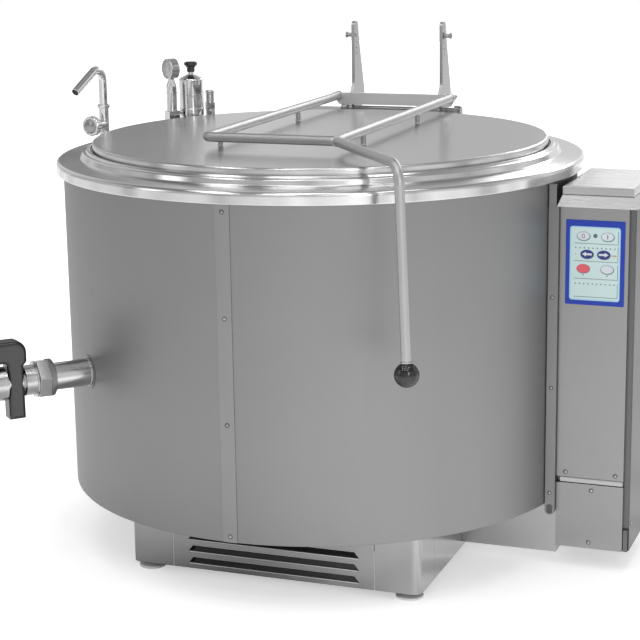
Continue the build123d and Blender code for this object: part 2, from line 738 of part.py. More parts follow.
gauge_face = safety_turn + 180
with BuildPart() as gauge_case:
    column_of(facing(gauge_face, -12, gauge_height, gx, gy), gauge_radius, 24)
    fillet(gauge_case.edges().group_by(SortBy.LENGTH)[-1], radius=2)
    column_of(facing(gauge_face, -9, gauge_height, gx, gy), 23, 22, mode=Mode.SUBTRACT)
    column_of(flat(stem_top, gx, gy), 8 + loose_fit, -10, mode=Mode.SUBTRACT)
keep(gauge_case, "gauge_case")

with BuildPart() as gauge_dial:
    column_of(facing(gauge_face, -9, gauge_height, gx, gy), 23, 12)
    column_of(facing(gauge_face, -10, gauge_height, gx, gy), 1.5 + running_fit, 20, mode=Mode.SUBTRACT)
keep(gauge_dial, "gauge_dial")

with BuildPart() as gauge_needle:
    column_of(facing(gauge_face, -5, gauge_height, gx, gy), 1.5, 10.5)
    column_of(facing(gauge_face, 3.8, gauge_height, gx, gy), 2.6, 1.7)
    with BuildSketch(facing(gauge_face, 4.0, gauge_height, gx, gy)):
        with BuildLine():
            Polyline((-1.1, -6), (1.1, -6), (0.4, 17), (-0.4, 17), close=True)
        make_face()
    extrude(amount=0.6)
keep(gauge_needle, "gauge_needle")

with BuildPart() as gauge_glass:
    column_of(facing(gauge_face, 9, gauge_height, gx, gy), 23, 1.5)
keep(gauge_glass, "gauge_glass")

valve_stem = 3.0
valve_top = manifold_top + 117
with BuildPart() as safety_valve:
    post(0, [(0, manifold_top), (29, manifold_top, 1), (29, manifold_top + 8),
             (31, manifold_top + 9, 1), (31, manifold_top + 26, 1.5), (30, manifold_top + 27),
             (30.5, valve_top - 17, 5), (12, valve_top - 7, 2), (7.5, valve_top - 6),
             (7.5, valve_top), (0, valve_top)])
    column_of(flat(valve_top + 1, safety_x, safety_y), valve_stem + running_fit, -42,
              mode=Mode.SUBTRACT)
    column_of(facing(gauge_face, 28, manifold_top + 17, safety_x, safety_y), 5, 8)
keep(safety_valve, "safety_valve")

with BuildPart() as safety_valve_knob:
    post(0, [(0, valve_top), (10, valve_top, 1), (10, valve_top + 10), (17, valve_top + 18, 1),
             (17, valve_top + 23, 2), (12, valve_top + 26, 1), (0, valve_top + 26)])
    column_of(flat(valve_top + 1, safety_x, safety_y), valve_stem, -32)
keep(safety_valve_knob, "safety_valve_knob")

with BuildPart() as vacuum_valve:
    post(vacuum_offset, [(0, manifold_top), (12.4, manifold_top, 0.8),
                         (12.4, manifold_top + 18, 0.8), (10.5, manifold_top + 19),
                         (10.5, manifold_top + 37), (11.3, manifold_top + 38, 0.5),
                         (11, manifold_top + 68, 3), (0, manifold_top + 68)])
    vx, vy = along(vacuum_offset)
    with BuildSketch(flat(manifold_top + 20, vx, vy, safety_turn)):
        RegularPolygon(radius=12.2, side_count=6, major_radius=False)
    extrude(amount=16)
keep(vacuum_valve, "vacuum_valve")

# ---------------------------------------------------------------- rear hinge housing


def cut_by_body():
    """Keep a rear piece clear of the rim and seated on the cladding."""
    turned([(0, cladding_bottom), (cladding_radius, cladding_bottom),
            (cladding_radius, rim_bottom - 1), (rim_radius + 0.5, rim_bottom - 1),
            (rim_radius + 0.5, arm_tip), (0, arm_tip)],
           mode=Mode.SUBTRACT)


with BuildPart() as hinge_housing:
    block(-housing_half, housing_half, rim_radius - 80, housing_back, housing_bottom, housing_top)
    block(-housing_half + sheet, housing_half - sheet, rim_radius - 100, housing_back - sheet,
          housing_bottom + sheet, housing_top - 2 * sheet, mode=Mode.SUBTRACT)
    block(-housing_half, housing_half, rim_radius + 4, rim_radius + 6,
          rim_bottom - 20, housing_top - sheet)
    block(side_box_left, -housing_half, rim_radius - 140, housing_back, housing_bottom,
          side_box_top)
    block(side_box_left + sheet, -housing_half - sheet, rim_radius - 160, housing_back - sheet,
          housing_bottom + sheet, side_box_top - sheet, mode=Mode.SUBTRACT)
    block(side_box_left, -housing_half, rim_radius - 18, rim_radius - 16,
          rim_bottom + 40, side_box_top - sheet)
    cut_by_body()
    lug_thickness = 10.0
    for side in (-1, 1):
        lug_face = Plane(origin=(kettle_x + side * lug_offset - lug_thickness / 2, kettle_y, 0),
                         x_dir=(0, 1, 0), z_dir=(1, 0, 0))
        with BuildSketch(lug_face):
            with BuildLine():
                rounded_outline([(hinge_back + 6, housing_top), (hinge_back + 64, housing_top),
                                 (hinge_back + 64, housing_top + 10, 4),
                                 (hinge_back + 14, hinge_height + 12, 8),
                                 (hinge_back - 6, hinge_height + 12, 4),
                                 (hinge_back - 8, hinge_height - 10, 4)])
            make_face()
            with Locations((hinge_back, hinge_height)):
                Circle(14)
                Circle(hinge_pin, mode=Mode.SUBTRACT)
        extrude(amount=lug_thickness)
keep(hinge_housing, "hinge_housing")

pin_half = lug_offset + lug_thickness / 2
with BuildPart() as hinge_shaft:
    column_of(facing(180, -pin_half, hinge_height, 0, hinge_back), hinge_pin, 2 * pin_half)
    for side in (0, 180):
        column_of(facing(side, pin_half, hinge_height, 0, hinge_back), 12, 7)
keep(hinge_shaft, "hinge_shaft")

# ---------------------------------------------------------------- lid
with BuildPart() as lid_shell:
    turned([(0, lid_top - 2), (lid_radius - 2, lid_top - 2, lid_edge - 2),
            (lid_radius - 2, lid_seat), (lid_radius, lid_seat), (lid_radius, lid_top, lid_edge),
            (0, lid_top)])
keep(lid_shell, "lid_shell")

with BuildPart() as lid_underside:
    inner_top = lid_seat + 11
    turned([(0, inner_top - 2), (lid_radius - 4, inner_top - 2, 1), (lid_radius - 2, lid_seat + 3),
            (lid_radius - 2, inner_top), (0, inner_top)])
keep(lid_underside, "lid_underside")

bar_back = hinge_plate_y
bar_corner = 14.0


def bar_sweep(bore=0.0, mode=Mode.ADD):
    """Round bar bent round three sides of the lid."""
    with BuildLine(flat(bar_height)) as path:
        FilletPolyline((-bar_half_span, bar_back), (-bar_half_span, -bar_front),
                       (bar_half_span, -bar_front), (bar_half_span, bar_back), radius=bar_corner)
    with BuildSketch(facing(-90, -bar_back, bar_height, x=-bar_half_span)) as ring:
        Circle(bar_radius)
        if bore > 0:
            Circle(bore, mode=Mode.SUBTRACT)
    sweep(ring.sketch, path=path.line, mode=mode)


with BuildPart() as lid_bars:
    bar_sweep(bar_radius - sheet)
    post_places = [(-bar_half_span, -225), (-bar_half_span, 250), (bar_half_span, -130),
                   (bar_half_span, 265)]
    for post_x, post_y in post_places:
        column_of(flat(lid_top, post_x, post_y), 6, bar_height - lid_top - bar_radius + 0.8)
keep(lid_bars, "lid_bars")

bend_angle = math.radians(-57.38)
knob_angle = math.radians(-57.07)
bend_out = 112.37              # beyond the rim's edge
knob_out = 150.57
knob_drop = 406.0
knob_x = (rim_radius + knob_out) * math.cos(knob_angle)
knob_y = (rim_radius + knob_out) * math.sin(knob_angle)
knob_z = bar_height - knob_drop
bend_x = (rim_radius + bend_out) * math.cos(bend_angle)
bend_y = (rim_radius + bend_out) * math.sin(bend_angle)
grip = Vector(knob_x - bend_x, knob_y - bend_y, knob_z - bar_height).normalized()
tube_stop = Vector(knob_x, knob_y, knob_z) - grip * 13
corner_in = bar_corner * (1 - math.sqrt(0.5))
with BuildPart() as lid_handle:
    with BuildLine(flat(0)) as handle_path:
        FilletPolyline((bar_half_span - corner_in, -bar_front + corner_in, bar_height),
                       (bend_x, bend_y, bar_height), (tube_stop.X, tube_stop.Y, tube_stop.Z),
                       radius=42)
    with BuildSketch(Plane(origin=handle_path.line @ 0, z_dir=handle_path.line % 0)):
        Circle(handle_radius)
    sweep()
    bar_sweep(mode=Mode.SUBTRACT)
keep(lid_handle, "lid_handle")

with BuildPart() as ball_knob:
    with Locations((kettle_x + knob_x, kettle_y + knob_y, knob_z)):
        Sphere(knob_radius)
    column_of(Plane(origin=(kettle_x + tube_stop.X, kettle_y + tube_stop.Y, tube_stop.Z),
                    z_dir=-grip), handle_radius, 40, mode=Mode.SUBTRACT)
keep(ball_knob, "ball_knob")

with BuildPart() as hinge_plate:
    with BuildSketch(Plane(origin=(kettle_x, kettle_y + hinge_plate_y, 0),
                           x_dir=(1, 0, 0), z_dir=(0, -1, 0))):
        with BuildLine():
            plate_low = bar_height - 22
            plate_high = bar_height + 8
            plate_half = bar_half_span + 21
            rounded_outline([(-bar_half_span, plate_low, 3), (bar_half_span, plate_low, 3),
                             (plate_half, plate_high, 3), (-plate_half, plate_high, 3)])
        make_face()
    extrude(amount=-plate_depth)
keep(hinge_plate, "hinge_plate")

arm_front = hinge_back - 34
arm_root = hinge_plate_y + plate_depth
with BuildPart() as balance_arms:
    for side in (-1, 1):
        arm_face = Plane(origin=(kettle_x + side * arm_offset - arm_thickness / 2, kettle_y, 0),
                         x_dir=(0, 1, 0), z_dir=(1, 0, 0))
        with BuildSketch(arm_face):
            with BuildLine():
                rounded_outline([(arm_root, bar_height - 16), (hinge_back - 18, hinge_height - 6, 8),
                                 (hinge_back + 8, hinge_height - 18, 12),
                                 (hinge_back + 20, hinge_height + 4, 10),
                                 (hinge_back + 43, hinge_height + 41, 12),
                                 (hinge_back - 2, arm_tip - 32, 6),
                                 (hinge_back - 8, arm_tip, 12), (arm_front, arm_tip, 12),
                                 (arm_front, bar_height + 30, 20), (arm_root, bar_height + 6)])
            make_face()
            with Locations((hinge_back, hinge_height)):
                Circle(16)
                Circle(hinge_pin + running_fit, mode=Mode.SUBTRACT)
            with Locations(*[(hinge_back - 18, arm_tip - 54 - 14 * n) for n in range(3)]):
                Circle(2.5, mode=Mode.SUBTRACT)
        extrude(amount=arm_thickness)
        column_of(facing(0 if side > 0 else 180, arm_offset - 6, arm_tip - 35,
                         0, hinge_back - 20), 5, 25)
keep(balance_arms, "balance_arms")

# ---------------------------------------------------------------- control column
bracket_height = 50.0
cable_entry = 16.0             # hole for the supply cable's gland
entry_x = (column_left + column_right) / 2
entry_y = column_back - 70
with BuildPart() as column_housing:
    block(column_left, column_right, column_front + 10, column_back, column_bottom, column_top)
    block(column_left + sheet, column_right - sheet, column_front + 12, column_back - sheet,
          column_bottom + sheet, column_top - sheet, mode=Mode.SUBTRACT)
    block(column_left + 12, column_right - 26, column_front, column_front + 20,
          column_bottom + 14, panel_split_low - 14, mode=Mode.SUBTRACT)
    block(column_left + 12, column_right - 26, column_front, column_front + 20,
          panel_split_high + 14, column_top - 14, mode=Mode.SUBTRACT)
    block(column_left - 1, column_left + 3, duct_front + sheet, duct_back - sheet,
          column_bottom + 4, duct_top - sheet, mode=Mode.SUBTRACT)
    column_of(flat(column_bottom - 1, entry_x, entry_y), cable_entry, 4, mode=Mode.SUBTRACT)
    block(panel_right + 1.5, column_right - 1.5, column_front + 2, column_front + 12,
          column_bottom, column_bottom + bracket_height)
keep(column_housing, "column_housing")

key_spots = {"key_off": (0.298, 0.187), "key_on": (0.707, 0.187), "key_down": (0.362, 0.399),
             "key_up": (0.645, 0.399), "key_red": (0.30, 0.570), "key_pale": (0.707, 0.570)}
key_half_width = 13.6
key_half_height = 9.2


def key_place(spot, y):
    """Plane facing the front, centred on a key."""
    return Plane(origin=(kettle_x + keypad_left + spot[0] * keypad_width, kettle_y + y,
                         keypad_top - spot[1] * keypad_tall), x_dir=(1, 0, 0), z_dir=(0, -1, 0))


fold = 10.0
side_screw = facing(0, column_right + sheet, column_bottom + 62, 0, column_front + 22)
upper_row = panel_split_high + 11
upper_screws = [(column_left + 20, upper_row), (panel_right - 18, upper_row)]
panel_middle = (column_left + panel_right) / 2
lower_screws = [(panel_middle + 4, panel_split_low - 13), (panel_middle, column_bottom + 14)]


def front_plane(x, z, y=column_front):
    return Plane(origin=(kettle_x + x, kettle_y + y, z), x_dir=(1, 0, 0), z_dir=(0, -1, 0))


def front_tray(z0, z1):
    """Folded front panel, open at the back."""
    block(column_left, panel_right, column_front, column_front + fold, z0, z1)
    block(column_left + sheet, panel_right - sheet, column_front + sheet, column_front + fold + 1,
          z0 + sheet, z1 - sheet, mode=Mode.SUBTRACT)


with BuildPart() as column_front_panel:
    front_tray(panel_split_high, column_top - 3)
    screw_holes([front_plane(x, z) for x, z in upper_screws], screw_shank, 6)
keep(column_front_panel, "column_front_panel")

with BuildPart() as column_lower_panel:
    front_tray(column_bottom, panel_split_low)
    screw_holes([front_plane(x, z) for x, z in lower_screws], screw_shank, 6)
keep(column_lower_panel, "column_lower_panel")

with BuildPart() as column_side_cover:
    block(column_right, column_right + sheet, column_front + 6, column_back, column_bottom + 2,
          column_top)
    screw_holes([side_screw], screw_shank, 6)
keep(column_side_cover, "column_side_cover")

cap_left = column_left + 6
cap_front = column_front - 8
cap_back = column_back + 6
with BuildPart() as column_cover:
    block(cap_left, cap_right, cap_front, cap_back, cover_bend, cover_top)
    fillet(column_cover.edges().group_by(Axis.Z)[-1], radius=2.5)
    with BuildSketch(flat(cover_bend)):
        with Locations(((cap_left + cap_right) / 2, (cap_front + cap_back) / 2)):
            Rectangle(cap_right - cap_left, cap_back - cap_front)
    extrude(amount=cover_bottom - cover_bend,
            taper=-math.degrees(math.atan(flare / (cover_bend - cover_bottom))))
    block(cap_left + sheet, cap_right - sheet, cap_front + sheet, cap_back - sheet,
          cover_bend - 0.01, cover_top - sheet, mode=Mode.SUBTRACT)
    with BuildSketch(flat(cover_bend)):
        with Locations(((cap_left + cap_right) / 2, (cap_front + cap_back) / 2)):
            Rectangle(cap_right - cap_left - 2 * sheet, cap_back - cap_front - 2 * sheet)
    extrude(amount=cover_bottom - cover_bend - 1,
            taper=-math.degrees(math.atan(flare / (cover_bend - cover_bottom))),
            mode=Mode.SUBTRACT)
    block(cap_left + sheet, cap_left + sheet + 40, 0, 40, column_top, cover_top - sheet)
    block(cap_right - sheet - 40, cap_right - sheet, 0, 40, column_top, cover_top - sheet)
keep(column_cover, "column_cover")

with BuildPart() as keypad_overlay:
    with BuildSketch(front_plane((keypad_left + keypad_right) / 2, (keypad_bottom + keypad_top) / 2)):
        RectangleRounded(keypad_width, keypad_tall, 2)
    extrude(amount=keypad_depth)
    with BuildSketch(*[key_place(spot, column_front) for spot in key_spots.values()]):
        Ellipse(key_half_width + loose_fit, key_half_height + loose_fit)
    extrude(amount=keypad_depth + 1, mode=Mode.SUBTRACT)
keep(keypad_overlay, "keypad_overlay")

for key_name, spot in key_spots.items():
    with BuildPart() as key:
        with BuildSketch(key_place(spot, column_front - key_travel)):
            Ellipse(key_half_width, key_half_height)
        extrude(amount=keypad_depth)
    keep(key, key_name)

gear_back = column_back - 12
gear_low = panel_split_high + 31
gear_high = column_top - 55
contactor_low = gear_low + 90
contactor_tall = 90.0
contactor_depth = 58.0
with BuildPart() as control_gear:
    block(column_left + 20, column_right - 20, gear_back, gear_back + 2, gear_low, gear_high)
    for z in (gear_low + 20, gear_high - 20):
        block(column_left + 60, column_right - 60, gear_back + 2, column_back - sheet,
              z - 10, z + 10)
    board_low = gear_high - 200
    block(column_left + 30, column_right - 30, gear_back - 10, gear_back - 8,
          board_low, board_low + 160)
    for x in (column_left + 36, column_right - 36):
        for z in (board_low + 8, board_low + 152):
            block(x - 4, x + 4, gear_back - 8, gear_back, z - 4, z + 4)
    block(column_left + 45, column_left + 85, gear_back - 28, gear_back - 10,
          board_low + 90, board_low + 140)
    block(column_right - 75, column_right - 45, gear_back - 22, gear_back - 10,
          board_low + 20, board_low + 80)
    contactor_front = gear_back - contactor_depth
    for number in range(3):
        x = column_left + 46 + number * 34
        block(x - 15, x + 15, contactor_front, gear_back, contactor_low,
              contactor_low + contactor_tall)
        block(x - 11, x + 11, contactor_front - 10, contactor_front, contactor_low + 15,
              contactor_low + contactor_tall - 15)
keep(control_gear, "control_gear")

# ---------------------------------------------------------------- side channel
channel_gap = 0.5
channel_width = 22.0
channel_depth = 18.0
channel_right = column_left - channel_gap
channel_left = channel_right - channel_width
channel_back = duct_front
channel_front = channel_back - channel_depth
channel_bottom = duct_top - 23
channel_top = column_top - 5
rivet_heights = [channel_bottom + 50, channel_bottom + 289, channel_top - 198]
rivet_x = channel_right - 11.5
with BuildPart() as side_channel:
    with BuildSketch(Plane(origin=(kettle_x, kettle_y + channel_front, 0),
                           x_dir=(1, 0, 0), z_dir=(0, -1, 0))):
        with BuildLine():
            rounded_outline([(channel_left, channel_bottom, 10), (channel_right, channel_bottom, 10),
                             (channel_right, channel_top), (channel_left, channel_top)])
        make_face()
    extrude(amount=channel_front - channel_back)
    turned([(0, channel_bottom - 20), (cladding_radius, channel_bottom - 20),
            (cladding_radius, channel_top + 20), (0, channel_top + 20)],
           mode=Mode.SUBTRACT)
    screw_holes([front_plane(rivet_x, z, channel_front) for z in rivet_heights], screw_shank, 3)
keep(side_channel, "side_channel")

with BuildPart() as screws:
    screw_heads(front_screws + rear_screws, screw_head, screw_rise, screw_shank, 2 * sheet)
    screw_heads([front_plane(x, z) for x, z in upper_screws + lower_screws] + [side_screw],
                screw_head, screw_rise, screw_shank, sheet)
    screw_heads([front_plane(rivet_x, z, channel_front) for z in rivet_heights],
                3.0, 1.2, screw_shank, 3)
keep(screws, "screws")
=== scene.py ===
import random
from math import asin, cos, degrees, pi, radians, sin, sqrt, tan

import bmesh
import bpy
from mathutils import Matrix, Vector
from mathutils.geometry import tessellate_polygon


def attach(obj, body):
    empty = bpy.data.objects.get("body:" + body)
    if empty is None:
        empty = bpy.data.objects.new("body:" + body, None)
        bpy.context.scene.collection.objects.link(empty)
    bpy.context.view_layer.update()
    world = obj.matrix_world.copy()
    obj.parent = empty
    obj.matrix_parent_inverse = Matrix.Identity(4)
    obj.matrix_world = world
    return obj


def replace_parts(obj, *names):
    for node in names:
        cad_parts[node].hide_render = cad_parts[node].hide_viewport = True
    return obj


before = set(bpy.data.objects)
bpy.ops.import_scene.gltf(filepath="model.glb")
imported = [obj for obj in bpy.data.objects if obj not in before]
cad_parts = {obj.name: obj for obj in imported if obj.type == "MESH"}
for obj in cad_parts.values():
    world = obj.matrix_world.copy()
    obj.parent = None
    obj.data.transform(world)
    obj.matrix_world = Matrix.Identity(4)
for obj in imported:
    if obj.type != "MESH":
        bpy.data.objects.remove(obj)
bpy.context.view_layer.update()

random.seed(7)


# Studio: a white paper sweep, a ceiling of soft panels and side boxes round a
# floor-standing kettle. Lengths are in millimetres from the kettle's axis and
# the floor.
axis_x = -72.956
axis_y = -2.055


def at(x, y, z):
    """Point in metres from millimetres off the kettle's axis."""
    return Vector(((axis_x + x) / 1000, (axis_y + y) / 1000, z / 1000))


def linear(colour):
    """Linear colour of an sRGB hex value."""
    parts = [int(colour[i:i + 2], 16) / 255 for i in (1, 3, 5)]
    parts = [c / 12.92 if c <= 0.04045 else ((c + 0.055) / 1.055) ** 2.4 for c in parts]
    return (*parts, 1.0)


def add(tree, kind, sockets=None, stops=(), **settings):
    """Adds a node, sets its properties and colour stops, and fills or links its sockets.

    A node given for a socket is linked by its first output.
    """
    made = tree.nodes.new("ShaderNode" + kind)
    for name, value in settings.items():
        setattr(made, name, value)
    for number, (position, colour) in enumerate(stops):
        made.color_ramp.elements[number].position = position
        made.color_ramp.elements[number].color = linear(colour)
    for name, value in (sockets or {}).items():
        if isinstance(value, bpy.types.Node):
            value = value.outputs[0]
        if isinstance(value, bpy.types.NodeSocket):
            tree.links.new(value, made.inputs[name])
        else:
            made.inputs[name].default_value = value
    return made


def span(low, high, to_low=0.0, to_high=1.0):
    """Sockets that carry one span of values over to another."""
    return {"From Min": low, "From Max": high, "To Min": to_low, "To Max": to_high}


def blank(name):
    """Empty node material, its tree, and the place on the object."""
    material = bpy.data.materials.new(name)
    material.use_nodes = True
    tree = material.node_tree
    tree.nodes.clear()
    return material, tree, add(tree, "TexCoord").outputs["Object"]


scene = bpy.context.scene


def placed(name, data):
    """New object in the scene."""
    made = bpy.data.objects.new(name, data)
    scene.collection.objects.link(made)
    return made


yaw, pitch, roll = -0.36, 0.2289, -0.015
ahead = Vector((sin(yaw) * cos(pitch), cos(yaw) * cos(pitch), -sin(pitch)))
level = Vector((cos(yaw), -sin(yaw), 0))
upward = level.cross(ahead)
right = cos(roll) * level + sin(roll) * upward
up = cos(roll) * upward - sin(roll) * level
camera_data = bpy.data.cameras.new("camera")
camera_data.sensor_fit = "HORIZONTAL"
sensor_mm, picture_pixels, focal_pixels = 36.0, 640, 1821.6
camera_data.sensor_width = sensor_mm
camera_data.lens = focal_pixels / picture_pixels * sensor_mm
camera_data.clip_end = 100.0
camera = placed("camera", camera_data)
eye = at(1457.4, -3890.9, 1459.6)
turned_to_kettle = Matrix((right, up, -ahead)).transposed().to_4x4()
camera.matrix_world = Matrix.Translation(eye) @ turned_to_kettle
scene.camera = camera
scene.view_settings.view_transform = "Standard"


def seen_white(tree):
    """1 for camera, glossy and transmission rays."""
    path = add(tree, "LightPath")
    both = add(tree, "Math", {0: path.outputs["Is Camera Ray"], 1: path.outputs["Is Glossy Ray"]},
               operation="MAXIMUM")
    return add(tree, "Math", {0: both, 1: path.outputs["Is Transmission Ray"]}, operation="MAXIMUM")


def room_light(tree, direction, low, high):
    """Brightness that bright metal mirrors: paler and dimmer parts of a room, dim to the left."""
    level_part = add(tree, "VectorMath", {0: direction, 1: (1, 1, 0.15)}, operation="MULTIPLY")
    turned_to = add(tree, "VectorMath", {0: level_part}, operation="NORMALIZE")
    parts = add(tree, "TexNoise", {"Vector": turned_to, "Scale": 4.6, "Detail": 1.5,
                                   "Roughness": 0.55})
    mirrored = add(tree, "MapRange", {"Value": parts, **span(0.38, 0.62, low, high)})
    leftward = add(tree, "VectorMath", {0: turned_to, 1: (-0.94, -0.26, 0)},
                   operation="DOT_PRODUCT")
    dimmed = add(tree, "MapRange", {"Value": leftward.outputs["Value"],
                                    **span(0.0, 0.9, 1.0, 0.6)})
    leaning = add(tree, "Math", {0: mirrored, 1: dimmed}, operation="MULTIPLY")
    camera_ray = add(tree, "LightPath").outputs["Is Camera Ray"]
    return add(tree, "Mix", {"Factor": camera_ray, 2: leaning, 3: 1.0}, data_type="FLOAT")


world = bpy.data.worlds.new("sweep")
world.use_nodes = True
scene.world = world
sky = world.node_tree
sky.nodes.clear()
# white up to eye level, then the dimmer ceiling of a room
direction = add(sky, "TexCoord").outputs["Generated"]
height = add(sky, "SeparateXYZ", {"Vector": direction}).outputs["Z"]
ceiling = add(sky, "ValToRGB", {"Fac": height})
ceiling.color_ramp.elements[0].position = 0.48
ceiling.color_ramp.elements[0].color = (1, 1, 1, 1)
ceiling.color_ramp.elements[1].position = 0.72
ceiling.color_ramp.elements[1].color = (0.42, 0.42, 0.42, 1)
room = add(sky, "Background", {"Color": (0.86, 0.86, 0.86, 1), "Strength": 0.62})
sweep = add(sky, "Background", {"Color": ceiling,
                                "Strength": room_light(sky, direction, 0.7, 1.14)})
chosen = add(sky, "MixShader", {0: seen_white(sky), 1: room, 2: sweep})
add(sky, "OutputWorld", {"Surface": chosen})

floor_mesh = bpy.data.meshes.new("studio_floor")
floor_half, floor_drop = 14, -0.0005
floor_mesh.from_pydata([(floor_half * x, floor_half * y, floor_drop) for x, y in
                        ((-1, -1), (1, -1), (1, 1), (-1, 1))], [], [(0, 1, 2, 3)])
floor = placed("studio_floor", floor_mesh)
paper, tree, place = blank("white_paper_sweep")
grain = add(tree, "TexNoise", {"Vector": place, "Scale": 40.0})
tone = add(tree, "ValToRGB", {"Fac": grain}, [(0, "#E6E6E6"), (1, "#EEEEEE")])
matt = add(tree, "BsdfDiffuse", {"Color": tone})
# beyond the shadow the paper is lit up to full white; mirrored rays see a painted
# shadow, darkest round a spot in front of the base and reaching further
reach = add(tree, "VectorMath", {0: place}, operation="LENGTH")
lift = add(tree, "MapRange", {"Value": reach.outputs["Value"], **span(0.7, 2.0, 0.5)})
below = add(tree, "VectorMath", {0: place, 1: (-0.22, -0.5, 0)}, operation="DISTANCE")
shade = add(tree, "MapRange", {"Value": below.outputs["Value"], **span(0.1, 0.8)})
lift = add(tree, "Mix", {"Factor": add(tree, "LightPath").outputs["Is Camera Ray"],
                         2: shade, 3: lift}, data_type="FLOAT")
lit_parts = add(tree, "Math", {0: lift, 1: room_light(tree, place, 0.55, 1.05)},
                operation="MULTIPLY")
glow = add(tree, "Emission", {"Color": (1, 1, 1, 1), "Strength": lit_parts})
lit = add(tree, "AddShader", {0: matt, 1: glow})
mixed = add(tree, "MixShader", {0: seen_white(tree), 1: matt, 2: lit})
add(tree, "OutputMaterial", {"Surface": mixed})
floor_mesh.materials.append(paper)


def lamp(name, spot, target, width, tall, power):
    """Soft rectangular lamp aimed at a point."""
    data = bpy.data.lights.new(name, "AREA")
    data.shape = "RECTANGLE"
    data.size = width
    data.size_y = tall
    data.energy = power
    made = placed(name, data)
    made.location = spot
    made.rotation_euler = (Vector(target) - Vector(spot)).to_track_quat("-Z", "Y").to_euler()


for row, lamp_y in enumerate((-2.7, -1.5, -0.3)):
    for column, lamp_x in enumerate((-1.5, -0.1, 1.3)):
        lamp("ceiling_panel_%d_%d" % (row, column), (lamp_x, lamp_y, 3.9), (lamp_x * 0.3, 0, 0.6),
             0.9, 0.5, 6.0)
lamp("left_box", (-3.4, -2.6, 2.2), (0, 0, 0.7), 0.9, 2.0, 9)
lamp("right_box", (2.6, -3.4, 2.4), (0, 0, 0.6), 0.7, 1.8, 18)
lamp("rear_box", (0.8, 3.6, 2.6), (0, 0, 0.8), 2.4, 0.8, 30)

# dark cards round the bright metal, which only mirrored rays see
card_black, tree, place = blank("matt_black_card")
black = add(tree, "BsdfDiffuse", {"Color": linear("#2A2A2A")})
clear = add(tree, "BsdfTransparent")
fibre = add(tree, "TexNoise", {"Vector": place, "Scale": 6.0})
share = add(tree, "Math", {0: add(tree, "LightPath").outputs["Is Glossy Ray"],
                           1: fibre}, operation="MULTIPLY")
opaque = add(tree, "Math", {0: share, 1: 0.9}, operation="MULTIPLY", use_clamp=True)
card = add(tree, "MixShader", {0: opaque, 1: clear, 2: black})
add(tree, "OutputMaterial", {"Surface": card})


def facing(bearing):
    """Level direction at a bearing in degrees."""
    return Vector((cos(radians(bearing)), sin(radians(bearing)), 0))


# bearing in degrees, half width, lower and upper edge in metres
dark_cards = [(127, 0.6, 0.2, 3.0), (126.6, 0.54, 0.2, 3.0), (-152, 0.3, 0.0, 3.0),
              (-111, 0.26, 0.0, 3.2), (-46, 0.2, 0.0, 3.0), (-34, 0.1, 0.0, 3.0),
              (0, 0.36, 0.0, 3.0), (58, 0.36, 0.0, 2.6)]
card_distance, card_step = 4.6, 0.03
for number, (bearing, wide, low, high) in enumerate(dark_cards):
    out = facing(bearing)
    centre = out * (card_distance - card_step * number)
    side = Vector((-out.y, out.x, 0)) * wide
    mesh = bpy.data.meshes.new("dark_card_%d" % number)
    mesh.from_pydata([centre + way * side + Vector((0, 0, z)) for way, z in
                      ((-1, low), (1, low), (1, high), (-1, high))], [], [(0, 1, 2, 3)])
    mesh.materials.append(card_black)
    placed("dark_card_%d" % number, mesh)


# Base: a welded tube frame under a floor sheet, closed by a folded skin of
# stainless sheet with pressed louvres, corner covers and round screw feet.
# The sheet is belt-ground, which draws fine lines and spreads light across.
sideways, rearward, upright = (1, 0, 0), (0, 1, 0), (0, 0, 1)
noise_span = (0.3, 0.7)


def surface(tree, tone, grain, strength, distance, edge_mm=0.0, **sockets):
    """Ends a material: a toned surface, roughened by a grain and softened at its edges."""
    bumps = {"Height": grain, "Strength": strength, "Distance": distance}
    if edge_mm:
        bumps["Normal"] = add(tree, "Bevel", {"Radius": edge_mm / 1000}, samples=4)
    shader = add(tree, "BsdfPrincipled",
                 {"Base Color": tone, "Normal": add(tree, "Bump", bumps), **sockets})
    add(tree, "OutputMaterial", {"Surface": shader})


